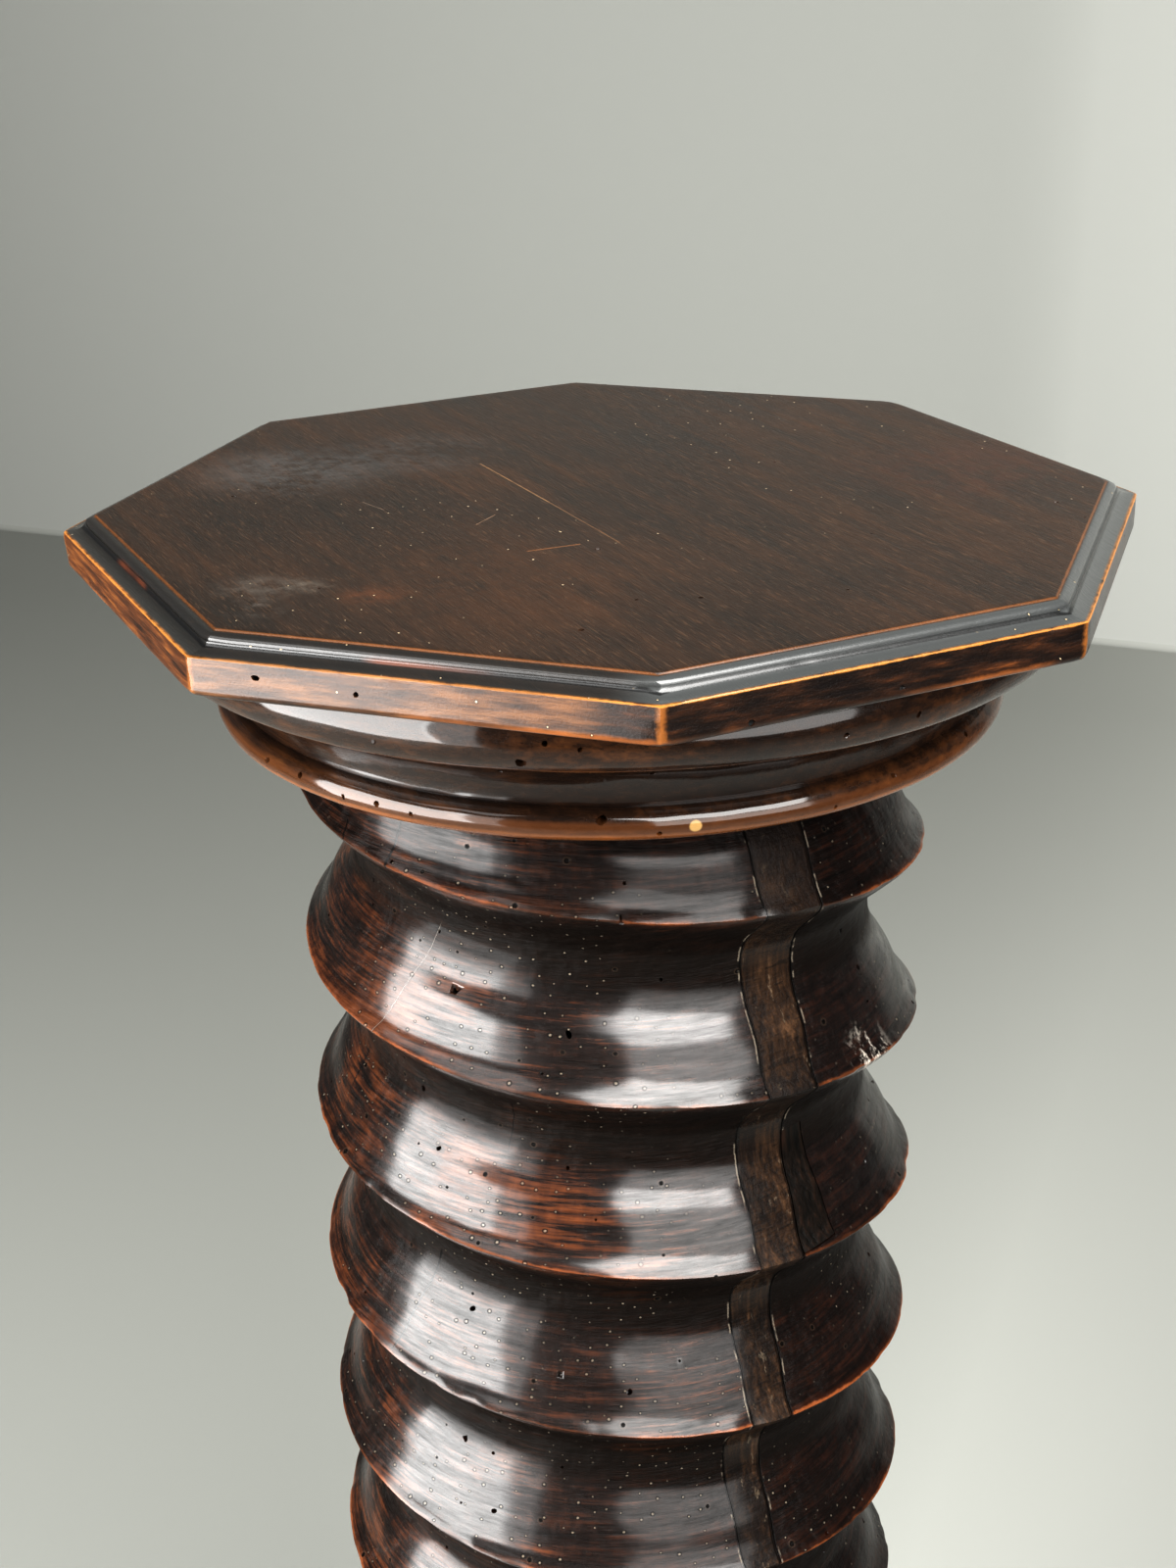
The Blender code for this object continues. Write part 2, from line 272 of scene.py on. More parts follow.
# Worm holes of a piece: those seen in the photograph, found by casting the pixel's ray on the mesh,
# and more at random places where allowed says so.
def wormHoles(name, mesh, facts, allowed):
    random = np.random.default_rng(facts["seed"])
    tree = BVHTree.FromPolygons(
        [vertex.co for vertex in mesh.vertices], [face.vertices for face in mesh.polygons])
    centres, directions, radii = [], [], []
    for column, row, width in facts["seen"]:
        origin, ray = pixelRay((column, row))
        place, normal, _, _ = tree.ray_cast(origin, ray)
        if place is not None:
            centres.append(tuple(place))
            directions.append(tuple(-normal))
            radii.append(width / 2000)
    faceCentres, faceNormals, areas = faceArrays(mesh)
    usable = np.flatnonzero(allowed(faceCentres, faceNormals))
    chance = areas[usable] / areas[usable].sum()
    picked = random.choice(usable, size=facts["atRandom"] * 2, replace=False, p=chance)
    kept = spacedOut(faceCentres[picked], facts["apart"], centres)[:facts["atRandom"]]
    picked = picked[kept]
    randomRadii = facts["smallest"] + (facts["largest"] - facts["smallest"]) * random.random(len(picked)) ** 2
    centres = np.array(centres + [tuple(point) for point in faceCentres[picked]])
    directions = np.array(directions + [tuple(-normal) for normal in faceNormals[picked]])
    directions = directions + random.normal(0.0, 0.22, directions.shape)
    directions /= np.linalg.norm(directions, axis=1, keepdims=True)
    radii = np.concatenate((np.array(radii), randomRadii))
    return boringsMesh(name, centres, directions, radii, radii * 4 + 0.0006, 9, facts["seed"] + 1)


# A finished piece: it rides on the body, stands for its CAD node and takes its finish from the slot.
def finishPiece(name, mesh, material, node, sharpDegrees):
    mesh.name = name
    mesh.materials.clear()
    mesh.materials.append(material)
    mesh.shade_smooth()
    mesh.set_sharp_from_angle(angle=math.radians(sharpDegrees))
    piece = newObject(name, mesh)
    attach(piece, "root")
    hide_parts(node)
    triangles = sum(len(face.vertices) - 2 for face in mesh.polygons)
    print(name, "has", triangles, "triangles")


# A socket of a material, on which arithmetic adds Math nodes.
class Wire:
    def __init__(self, paint, socket):
        self.paint = paint
        self.socket = socket

    def maths(self, operation, *values):
        return self.paint.node("ShaderNodeMath", {"operation": operation}, dict(enumerate(values)))

    def __add__(self, other):
        return self.maths("ADD", self, other)

    def __radd__(self, other):
        return self.maths("ADD", other, self)

    def __sub__(self, other):
        return self.maths("SUBTRACT", self, other)

    def __rsub__(self, other):
        return self.maths("SUBTRACT", other, self)

    def __mul__(self, other):
        return self.maths("MULTIPLY", self, other)

    def __rmul__(self, other):
        return self.maths("MULTIPLY", other, self)

    def __truediv__(self, other):
        return self.maths("DIVIDE", self, other)

    def __pow__(self, other):
        return self.maths("POWER", self, other)

    def __gt__(self, other):
        return self.maths("GREATER_THAN", self, other)

    def __lt__(self, other):
        return self.maths("LESS_THAN", self, other)

    def __neg__(self):
        return self.maths("MULTIPLY", self, -1.0)

    def __abs__(self):
        return self.maths("ABSOLUTE", self)

    def least(self, other):
        return self.maths("MINIMUM", self, other)

    def most(self, other):
        return self.maths("MAXIMUM", self, other)


# sRGB numbers from 0 to 255 as the linear colour that Blender works with.
def shade(red, green, blue):
    parts = [part / 255 for part in (red, green, blue)]
    linear = [part / 12.92 if part <= 0.04045 else ((part + 0.055) / 1.055) ** 2.4 for part in parts]
    return (*linear, 1.0)


# A material and the few kinds of node that the finishes need.
class Paint:
    def __init__(self, name):
        self.material = bpy.data.materials.new(name)
        self.material.use_nodes = True
        self.nodes = self.material.node_tree.nodes
        self.links = self.material.node_tree.links
        self.shader = self.nodes["Principled BSDF"]
        coordinates = self.nodes.new("ShaderNodeTexCoord")
        self.place = Wire(self, coordinates.outputs["Object"])
        parts = self.nodes.new("ShaderNodeSeparateXYZ")
        self.links.new(self.place.socket, parts.inputs[0])
        self.x, self.y, self.z = [Wire(self, output) for output in parts.outputs]

    def node(self, kind, settings, values, output=0):
        made = self.nodes.new(kind)
        for key, setting in settings.items():
            setattr(made, key, setting)
        for key, value in values.items():
            if isinstance(value, Wire):
                self.links.new(value.socket, made.inputs[key])
            else:
                made.inputs[key].default_value = value
        return Wire(self, made.outputs[output])

    def vectorMaths(self, operation, first, second, output=0):
        return self.node("ShaderNodeVectorMath", {"operation": operation}, {0: first, 1: second}, output)

    def joined(self, x, y, z):
        return self.node("ShaderNodeCombineXYZ", {}, {0: x, 1: y, 2: z})

    def noise(self, where, scale, detail=3.0, roughness=0.55, distortion=0.0):
        values = {
            "Vector": where, "Scale": scale, "Detail": detail, "Roughness": roughness,
            "Distortion": distortion}
        return self.node("ShaderNodeTexNoise", {}, values)

    # Noise of the place times a number for each axis.
    def streaked(self, x, y, z, *settings):
        return self.noise(self.vectorMaths("MULTIPLY", self.place, (x, y, z)), 1.0, *settings)

    # The same in axes turned about Z, so that X lies along the grain of the top.
    def grained(self, x, y, z, *settings):
        values = {"Vector": self.place, "Angle": -math.radians(slab["grain"])}
        along = self.node("ShaderNodeVectorRotate", {"rotation_type": "Z_AXIS"}, values)
        return self.noise(self.vectorMaths("MULTIPLY", along, (x, y, z)), 1.0, *settings)

    # S-shaped rise from start to end between low and high, and below it the fall.
    def rise(self, value, low, high, start=0.0, end=1.0):
        values = {0: value, 1: low, 2: high, 3: start, 4: end}
        return self.node("ShaderNodeMapRange", {"interpolation_type": "SMOOTHSTEP"}, values)

    def fall(self, value, low, high):
        return self.rise(value, low, high, 1.0, 0.0)

    # Colours are given as three sRGB numbers, or as the four of Blender's own.
    def ramp(self, value, stops):
        made = self.node("ShaderNodeValToRGB", {}, {0: value})
        elements = made.socket.node.color_ramp.elements
        while len(elements) < len(stops):
            elements.new(0.5)
        for element, (position, colour) in zip(elements, stops):
            element.position = position
            element.color = colour if len(colour) == 4 else shade(*colour)
        return made

    def blend(self, factor, first, second, way="MIX"):
        if isinstance(second, tuple) and len(second) == 3:
            second = shade(*second)
        settings = {"data_type": "RGBA", "blend_type": way}
        return self.node("ShaderNodeMix", settings, {0: factor, 6: first, 7: second}, 2)

    def tinted(self, factor, first, second):
        return self.blend(factor, first, second, "MULTIPLY")

    # Coats laid over one another, each a factor and a tint.
    def layered(self, colour, *coats):
        for factor, tint in coats:
            colour = self.blend(factor, colour, tint)
        return colour

    # Distance from the surface to a point.
    def distanceTo(self, point):
        return self.vectorMaths("DISTANCE", self.place, tuple(point), 1)

    # Distance from the point to a line between two points, the height left out: the offset from the
    # nearest point of the line, whose share is clamped to the line's own length.
    def lineDistance(self, start, end):
        alongX, alongY = end.x - start.x, end.y - start.y
        square = alongX * alongX + alongY * alongY
        share = ((self.x - start.x) * alongX + (self.y - start.y) * alongY) / square
        share = share.most(0.0).least(1.0)
        offX = self.x - start.x - share * alongX
        offY = self.y - start.y - share * alongY
        return (offX * offX + offY * offY) ** 0.5

    def bump(self, height, distance):
        return self.node("ShaderNodeBump", {}, {"Height": height, "Distance": distance, "Strength": 1.0})

    # Plain values and wires into the shader.
    def finish(self, plain, **changing):
        for name, value in plain.items():
            self.shader.inputs[name].default_value = value
        sockets = {
            "colour": "Base Color", "roughness": "Roughness", "normal": "Normal", "coat": "Coat Weight"}
        for name, wire in changing.items():
            self.links.new(wire.socket, self.shader.inputs[sockets[name]])
        return self.material


# the old press screw, a left-hand thread of one start; the outline of a turn goes from crest to crest
screw = {
    "pitch": 0.0711,
    "firstCrest": 0.9741,  # height of a crest in the direction of +X
    "shares": (0.0, 0.025, 0.06, 0.11, 0.18, 0.25, 0.33, 0.405, 0.48, 0.56,
               0.64, 0.72, 0.78, 0.85, 0.91, 0.955, 0.985, 1.0),
    "radii": (0.1193, 0.1182, 0.1158, 0.1122, 0.1068, 0.1022, 0.0994, 0.0986, 0.0991, 0.1005,
              0.1036, 0.1076, 0.1097, 0.1118, 0.1139, 0.1163, 0.1185, 0.1193),
    "rowsPerTurn": 27,
    "columns": 240,
    "turnsAbove": 2,
    "turnsInAll": 15,
    "crestCrowding": 0.55,  # how much closer the rows lie near the crest
    "undulation": 0.00035,
    "crestWander": 0.0005,
    "crestWear": 0.0012,
    "wearWidth": 0.0028,
    "inlayDrop": 0.00022,  # the let-in pieces lie this much lower
    # the side opposite the rubbed one is darkened in the finish as painted shade
    "rubbedSide": -70.0,  # degrees to the photograph's right where the wood is rubbed to rust
}

strip = {
    "angle": 316.9,  # degrees about Z
    "back": 0.0840,  # distance of its inner side from the axis
    "topWidth": 0.0237,
    "endWidth": 0.0045,
    "topShift": 0.0122,  # sideways, positive to the right in the photograph
    "endShift": -0.0184,
    "length": 0.7277,
    "bend": -0.0050,  # sideways again, above the second thread only
    "bendFrom": 0.925,
    "bendTo": 1.005,
    "gap": 0.0003,
    "waver": 0.00025,  # how far its edges stray from a straight line
}

# worm holes: those seen in the photograph are (pixel column, pixel row, width in millimetres)
screwHoles = {
    "seen": ((634, 942, 2.0),),
    "atRandom": 300, "apart": 0.006, "smallest": 0.0005, "largest": 0.0013, "seed": 71,
}

wedge = {"topDrop": 0.1475, "length": 0.0405, "topWidth": 0.0090, "endWidth": 0.0165}

screwFoot, screwTop = heightsOf("screw_shaft")


# Thread: the point of column angle A and row share s has the radius of the turn's outline at s and the
# height firstCrest - pitch * (A / turn + s). The last column joins the first one a turn further down.
def threadMesh(name, lower):
    rows = screw["rowsPerTurn"]
    columns = screw["columns"]
    steps = np.arange(rows * screw["turnsInAll"] + 1) / rows
    shares = steps - screw["crestCrowding"] * np.sin(2 * np.pi * steps) / (2 * np.pi)
    angles = np.arange(columns) / columns * 2 * np.pi
    share, angle = np.meshgrid(shares, angles, indexing="ij")
    fraction = share - np.floor(share + 1e-9)
    radius = throughPoints(np.clip(fraction, 0.0, 1.0), screw["shares"], screw["radii"]) - lower
    drop = share - screw["turnsAbove"] + angle / (2 * np.pi)
    height = screw["firstCrest"] - screw["pitch"] * drop
    base = aroundAxis(radius, angle, height)
    toCrest = np.minimum(fraction, 1 - fraction) * screw["pitch"]
    crest = np.exp(-(toCrest / screw["wearWidth"]) ** 2)
    worn = np.clip(lumps(base, 0.0085, 11) - 0.15, 0, 1) + 1.4 * np.clip(lumps(base, 0.021, 12) - 0.45, 0, 1)
    radius = radius - screw["crestWear"] * worn * crest
    radius = radius + screw["undulation"] * (lumps(base, 0.03, 13) + 0.5 * lumps(base, 0.011, 14))
    height = height + screw["crestWander"] * lumps(base, (0.05, 0.05, 0.03), 15)
    index = np.arange(height.size).reshape(-1, columns)
    seam = np.stack(
        (index[:-1 - rows, -1], index[1:-rows, -1], index[1 + rows:, 0], index[rows:-1, 0]), axis=-1)
    quads = np.concatenate((gridQuads(index, False), seam))
    return faceOutward(newMesh(name, aroundAxis(radius, angle, height), list(quads)), squareEnds)


# The thread's ends: all that lies beyond the screw's two flat ends is cut off and the cuts are filled.
def squareEnds(shape):
    for level, side in ((screwTop, 1.0), (screwFoot, -1.0)):
        every = shape.verts[:] + shape.edges[:] + shape.faces[:]
        cut = bmesh.ops.bisect_plane(
            shape, geom=every, dist=1e-7, plane_co=(0, 0, level), plane_no=(0, 0, side),
            clear_outer=True)
        rim = [part for part in cut["geom_cut"] if isinstance(part, bmesh.types.BMEdge)]
        bmesh.ops.contextual_create(shape, geom=rim)


# Sideways middle and half width of the strip at a height, for arrays or, with paint.rise, for wires.
def stripPlace(height, rise=rise):
    share = (screwTop - height) / strip["length"]
    middle = strip["topShift"] + (strip["endShift"] - strip["topShift"]) * share
    middle = middle + strip["bend"] * rise(height, strip["bendFrom"], strip["bendTo"])
    half = (strip["topWidth"] + (strip["endWidth"] - strip["topWidth"]) * share) / 2
    return middle, half


# Closed prism that stands out at the crack. Its two long edges are given as sideways places over the
# heights; each level is a quadrilateral from the back to beyond the crests.
def inlayPrism(name, heights, left, right, back):
    turn = math.radians(strip["angle"])
    outward = np.array((math.cos(turn), math.sin(turn), 0.0))
    sideways = np.array((-math.sin(turn), math.cos(turn), 0.0))
    front = 0.132
    corners = ((left, back), (right, back), (right, front), (left, front))
    rings = np.stack([
        outward * reach + sideways * np.asarray(edge)[:, None] + np.array((0, 0, 1.0)) * heights[:, None]
        for edge, reach in corners], axis=1)
    index = np.arange(len(heights) * 4).reshape(-1, 4)
    walls = gridQuads(index, True, True)
    return faceOutward(newMesh(name, rings, list(walls) + [index[0], index[-1, ::-1]]))


# The strip's prism, widened by a margin, with edges that stray a little from straight.
def stripPrism(name, margin):
    heights = np.linspace(screwTop + 0.01, screwTop - strip["length"] - margin, 150)
    middle, half = stripPlace(heights)
    along = np.stack((heights * 0, heights * 0, heights), axis=-1)
    left = middle - half - margin + strip["waver"] * lumps(along, 0.013, 21)
    right = middle + half + margin + strip["waver"] * lumps(along, 0.013, 22)
    return inlayPrism(name, heights, left, right, strip["back"] - margin)


# The wedge's prism starts a gap to the right of the strip.
def wedgePrism(name, margin):
    high = screwTop - wedge["topDrop"] + margin
    low = high - wedge["length"] - 2 * margin
    heights = np.linspace(high, low, 12)
    middle, half = stripPlace(heights)
    share = (high - heights) / (high - low)
    along = np.stack((heights * 0, heights * 0, heights), axis=-1)
    left = middle + half + strip["gap"] + strip["waver"] * lumps(along, 0.013, 22) - margin + strip["gap"]
    width = wedge["topWidth"] + (wedge["endWidth"] - wedge["topWidth"]) * share
    right = left + width + 2 * margin + 0.0003 * lumps(along, 0.008, 23)
    return inlayPrism(name, heights, left, right, strip["back"] - margin)


# The octagonal top. Its edge goes from the flat field down to the slab's underside: a small step, an
# ovolo, a quirk, a cove, a thin arris, an upright side and a rounded lower edge.
slab = {
    "halfWidth": 0.1804,
    "border": 0.0109,
    "step": 0.0006,
    "ovoloWidth": 0.0034,
    "ovoloDrop": 0.0020,
    "quirk": 0.0005,
    "coveDrop": 0.0026,
    "arris": 0.0004,
    "lowerRound": 0.0025,
    "fieldRings": 44,
    "sideSteps": 44,
    "cornerSteps": 8,
    "warp": 0.00025,
    "grain": -45.0,  # degrees about Z
    "holes": {
        "seen": (
            (260, 692, 2.0), (363, 709, 1.8), (767, 738, 2.2), (921, 702, 1.8), (891, 723, 1.6),
            (1019, 705, 1.8), (1111, 660, 1.6)),
        "atRandom": 14, "apart": 0.012, "smallest": 0.0005, "largest": 0.0010, "seed": 81},
}

slabFoot, slabTop = heightsOf("top_slab")


# Octagon rings: along each side the half width out and a straight stretch across, then an arc of the
# corner's radius round a centre on the diagonal.
def octagonRings(halfWidths, cornerRadii, heights, sideSteps, cornerSteps):
    half = math.pi / 8
    inner = (halfWidths - cornerRadii)[:, None]
    straight = np.linspace(-1, 1, sideSteps)[None, :]
    sideOut = np.broadcast_to(halfWidths[:, None], (len(halfWidths), sideSteps))
    sideAcross = inner * math.tan(half) * straight
    bend = (np.arange(1, cornerSteps) / cornerSteps * 2 * half)[None, :]
    arcOut = inner + cornerRadii[:, None] * np.cos(bend)
    arcAcross = inner * math.tan(half) + cornerRadii[:, None] * np.sin(bend)
    out = np.concatenate((sideOut, arcOut), axis=1)
    across = np.concatenate((sideAcross, arcAcross), axis=1)
    turns = (np.arange(8) * 2 * half)[None, :, None]
    x = out[:, None] * np.cos(turns) - across[:, None] * np.sin(turns)
    y = out[:, None] * np.sin(turns) + across[:, None] * np.cos(turns)
    z = np.broadcast_to(heights[:, None, None], x.shape)
    return np.stack((x, y, z), axis=-1).reshape(len(halfWidths), -1, 3)


# Points (half width, height) of the slab's section from the middle of the field to that of the
# underside, with the radius of the octagon's corners at each.
def slabSection():
    field = slab["halfWidth"] - slab["border"]
    ring = np.linspace(0.004, 1.0, slab["fieldRings"])[:-1]
    quarter = np.linspace(0.0, np.pi / 2, 9)
    parts = [(field * ring, np.full(ring.shape, slabTop), 0.002 * ring)]
    stepX = field - 0.0004 + np.array((0.0, 0.0002, 0.0004, 0.0006, 0.0007))
    stepZ = slabTop - np.array((0.0, 0.00003, 0.00015, 0.0004, slab["step"]))
    parts.append((stepX, stepZ, np.full(5, 0.0022)))
    startX = field + 0.0004
    ovoloX = startX + slab["ovoloWidth"] * np.sin(quarter[1:])
    ovoloZ = slabTop - slab["step"] - slab["ovoloDrop"] * (1 - np.cos(quarter[1:]))
    parts.append((ovoloX, ovoloZ, np.full(8, 0.0022)))
    coveX = ovoloX[-1] + slab["quirk"]
    coveZ = ovoloZ[-1] - slab["quirk"]
    coveEnd = slab["halfWidth"] - slab["arris"]
    parts.append((np.array((ovoloX[-1],)), np.array((coveZ,)), np.array((0.0022,))))
    parts.append((
        coveX + (coveEnd - coveX) * (1 - np.cos(quarter)),
        coveZ - slab["coveDrop"] * np.sin(quarter), np.full(9, 0.0016)))
    arrisZ = coveZ - slab["coveDrop"] - slab["arris"]
    sideZ = np.linspace(arrisZ, slabFoot + slab["lowerRound"], 9)
    parts.append((np.full(9, slab["halfWidth"]), sideZ, np.full(9, 0.0014)))
    parts.append((
        slab["halfWidth"] - slab["lowerRound"] * (1 - np.cos(quarter[1:])),
        slabFoot + slab["lowerRound"] * (1 - np.sin(quarter[1:])), np.full(8, 0.0014)))
    under = slab["halfWidth"] - slab["lowerRound"]
    inward = np.linspace(1.0, 0.0, 12)[1:-1]
    parts.append((under * inward, np.full(inward.shape, slabFoot), 0.0014 * inward))
    return [np.concatenate(columns) for columns in zip(*parts)]


# How close points are to the octagon's corners: the largest of the three side distances less the next
# one, which is nothing at a corner.
def cornerDistance(points):
    x, y = np.abs(points[..., 0]), np.abs(points[..., 1])
    sides = np.sort(np.stack((x, y, (x + y) * math.sqrt(0.5)), axis=-1), axis=-1)
    return (sides[..., 2] - sides[..., 1]) / (2 * math.sin(math.pi / 8))


# Wear of a block: points near its corners and lower edge move in towards the axis by smooth lumps.
def wornBlock(points, amount, seed):
    near = np.exp(-(cornerDistance(points) / 0.0025) ** 2)
    outer = rise(np.linalg.norm(points[..., :2], axis=-1), 0.12, 0.17)
    dents = np.clip(lumps(points, 0.0045, seed) + 0.5, 0, 1.5) * near
    scuffs = np.clip(lumps(points, (0.006, 0.006, 0.003), seed + 1) - 0.45, 0, 1)
    shrink = 1 - amount * outer * (dents + 0.45 * scuffs) / 0.19
    moved = points.copy()
    moved[..., :2] *= shrink[..., None]
    return moved


# The top: octagon rings from its section, worn at the corners and dipped a little on the field.
def slabMesh():
    halfWidths, heights, cornerRadii = slabSection()
    rings = octagonRings(halfWidths, cornerRadii, heights, slab["sideSteps"], slab["cornerSteps"])
    rings = wornBlock(rings, 0.0009, 31)
    dip = slab["warp"] * (lumps(rings * (1, 1, 0), (0.07, 0.07, 1.0), 33) - 1.0) / 2
    onTop = rise(rings[..., 2], slabTop - 0.004, slabTop - 0.0005)
    rings[..., 2] += dip * onTop
    return ringedMesh("slab", rings, (0, 0, float(rings[0, :, 2].mean())), (0, 0, slabFoot))


# Round mouldings: sections as lists of (radius, height) from the top down, worked out from arcs.
capital = {
    "torusRadius": 0.1690, "torusHeight": 0.0193, "torusSwell": 0.0080, "torusReach": 65.0,
    "fillet": 0.0010, "filletStep": 0.0025,
    "neckRadius": 0.1395,
    "beadRadius": 0.1452, "beadHeight": 0.0115, "beadSwell": 0.0060, "beadReach": 80.0,
    "columns": 330, "seed": 61,
    "holes": {
        "seen": (
            (381, 757, 1.8), (556, 759, 2.0), (592, 765, 1.6), (864, 750, 1.8), (938, 729, 2.0),
            (666, 789, 1.8), (306, 791, 2.0), (350, 813, 1.6), (384, 820, 2.0), (419, 831, 1.6),
            (614, 837, 3.0), (673, 851, 1.8), (531, 779, 3.2)),
        "atRandom": 60, "apart": 0.007, "smallest": 0.0006, "largest": 0.0012, "seed": 91},
    # the finish: start and end below the top, or level and width, then strength and tint
    "bands": ((0.0195, 0.0425, 0.55, (14, 9, 7)), (0.0440, 0.0530, 0.30, (92, 54, 26))),
    "wornLines": ((0.0190, 0.0008, 0.5, (96, 60, 34)), (0.0505, 0.0020, 0.75, (118, 70, 32))),
    # pixel, distance from the axis, radius, tint
    "plugs": (((710, 843), 0.1450, 0.0022, (132, 106, 66)), ((664, 807), 0.1440, 0.0020, (60, 38, 24))),
}
base = {
    "beadRadius": 0.1430, "beadHeight": 0.0110, "beadSwell": 0.0055, "beadReach": 80.0,
    "neckRadius": 0.1380,
    "torusRadius": 0.1680, "torusHeight": 0.0200, "torusSwell": 0.0080, "torusReach": 65.0,
    "filletStep": 0.0030,
    "columns": 300, "seed": 63,
    "holes": {
        "seen": (), "atRandom": 40, "apart": 0.008, "smallest": 0.0006, "largest": 0.0012, "seed": 95},
    "bands": ((0.0100, 0.0300, 0.60, (10, 8, 8)),),
    "wornLines": ((0.0015, 0.0012, 0.5, (150, 92, 44)), (0.0302, 0.0010, 0.6, (140, 90, 48))),
    "plugs": (),
}


# Swelling between two heights: an upright half ellipse that stops at the reach on both sides.
def swelling(radius, swell, top, bottom, reach, steps):
    limit = math.radians(reach)
    turn = np.linspace(limit, -limit, steps)
    middle, half = (top + bottom) / 2, (top - bottom) / 2
    return np.stack(
        (radius - swell * (1 - np.cos(turn)), middle + half * np.sin(turn) / math.sin(limit)), axis=-1)


# Hollow between two points (radius, height): a quarter ellipse.
def hollow(start, end, steepFirst, steps):
    turn = np.linspace(0.0, np.pi / 2, steps)
    soon, late = np.sin(turn), 1 - np.cos(turn)
    side, drop = (late, soon) if steepFirst else (soon, late)
    return np.stack(
        (start[0] + (end[0] - start[0]) * side, start[1] + (end[1] - start[1]) * drop), axis=-1)


# Fills the straight stretches of a section so that no two of its points are further apart than asked.
def filled(section, longest):
    pieces = []
    for start, end in zip(section[:-1], section[1:]):
        count = max(1, int(math.ceil(np.linalg.norm(end - start) / longest)))
        pieces.append(start + (end - start) * (np.arange(count) / count)[:, None])
    return np.concatenate(pieces + [section[-1:]])


# Capital from the top down: a swelling torus, a small step, a hollow and a swelling bead.
def capitalSection():
    foot, top = heightsOf("capital")
    torusFoot = top - capital["torusHeight"]
    torus = swelling(
        capital["torusRadius"], capital["torusSwell"], top, torusFoot, capital["torusReach"], 22)
    beadTop = foot + capital["beadHeight"]
    start = (torus[-1][0] - capital["filletStep"], torusFoot - capital["fillet"])
    cove = hollow(start, (capital["neckRadius"], beadTop), False, 22)
    bead = swelling(capital["beadRadius"], capital["beadSwell"], beadTop, foot, capital["beadReach"], 18)
    ground = np.array([(0.02, top)])
    return filled(np.concatenate((ground, torus, cove, bead, [(0.02, foot)])), 0.006)


# Base moulding from the top down: a swelling bead, a hollow and a swelling torus.
def baseSection():
    foot, top = heightsOf("base_moulding")
    beadFoot = top - base["beadHeight"]
    bead = swelling(base["beadRadius"], base["beadSwell"], top, beadFoot, base["beadReach"], 16)
    torus = swelling(
        base["torusRadius"], base["torusSwell"], foot + base["torusHeight"], foot, base["torusReach"], 20)
    end = (torus[0][0] - base["filletStep"], foot + base["torusHeight"])
    cove = hollow((base["neckRadius"], beadFoot), end, True, 20)
    return filled(np.concatenate(([(0.02, top)], bead, cove, torus, [(0.02, foot)])), 0.006)


# Turned surface: each point of the section goes round the axis; lumps make it a little uneven.
def turnedMesh(name, section, columns, unevenness, seed):
    angles = np.arange(columns) / columns * 2 * np.pi
    radius = np.broadcast_to(section[:, :1], (len(section), columns))
    height = np.broadcast_to(section[:, 1:], radius.shape)
    even = aroundAxis(radius, angles, height)
    outer = rise(radius, 0.10, 0.13)
    uneven = lumps(even, (0.03, 0.03, 0.008), seed) + 0.6 * lumps(even, (0.009, 0.009, 0.004), seed + 1)
    radius = radius + unevenness * outer * (uneven - 1.0)
    rings = aroundAxis(radius, angles, height)
    return ringedMesh(name, rings, (0, 0, float(section[0][1])), (0, 0, float(section[-1][1])))


plinth = {"halfWidth": 0.1800, "chamfer": 0.0040}


# The plinth: octagon rings over a flat field, a rounded chamfer, an upright side and the underside.
def plinthMesh():
    foot, top = heightsOf("plinth")
    out, cut = plinth["halfWidth"], plinth["chamfer"]
    field = np.linspace(0.03, 1.0, 20)[:-1] * (out - cut)
    edge = np.array((out - cut, out - cut * 0.93, out - cut * 0.5, out - cut * 0.07, out))
    edgeZ = top - np.array((0.0, 0.0001, cut * 0.5, cut * 0.93, cut))
    sideZ = np.linspace(top - cut, foot + 0.0006, 14)[1:]
    under = np.linspace(1.0, 0.03, 14) * (out - 0.0006)
    widths = np.concatenate((field, edge, np.full(sideZ.shape, out), under))
    heights = np.concatenate((np.full(field.shape, top), edgeZ, sideZ, np.full(under.shape, foot)))
    corners = np.minimum(np.full(widths.shape, 0.0016), widths * 0.05)
    rings = octagonRings(widths, corners, heights, 40, 6)
    return ringedMesh("plinth", wornBlock(rings, 0.0009, 51), (0, 0, top), (0, 0, foot))


# Point of an upright cylinder about the axis that a pixel shows.
def pixelOnScrew(pixel, radius):
    origin, ray = pixelRay(pixel)
    square = ray.x ** 2 + ray.y ** 2
    half = (origin.x * ray.x + origin.y * ray.y) / square
    rest = (origin.x ** 2 + origin.y ** 2 - radius ** 2) / square
    return origin + ray * (-half - math.sqrt(half * half - rest))


# Angle of a point about the axis, in turns.
def turnShare(point):
    return math.atan2(point.y, point.x) / (2 * math.pi)


# cracks on the screw, each from one pixel of the photograph to another: dark or filled with pale dust
crackLines = (
    ((427, 956), (384, 1057), 0.00017, True),
    ((410, 833), (400, 888), 0.00030, False),
    ((367, 833), (362, 867), 0.00022, False),
    ((428, 1291), (405, 1371), 0.00030, False),
    ((517, 1120), (500, 1195), 0.00016, False),
    ((352, 1075), (340, 1110), 0.00020, False),
    ((640, 1290), (636, 1330), 0.00014, False),
)
scuffPlace = (876, 1076)    # pixel of the whitish scuffs low on the right of the second thread


# The angle about the axis in turns and the distance from the axis.
def roundThe(paint):
    angle = paint.y.maths("ARCTAN2", paint.y, paint.x) / (2 * math.pi)
    radius = (paint.x * paint.x + paint.y * paint.y) ** 0.5
    return angle, radius


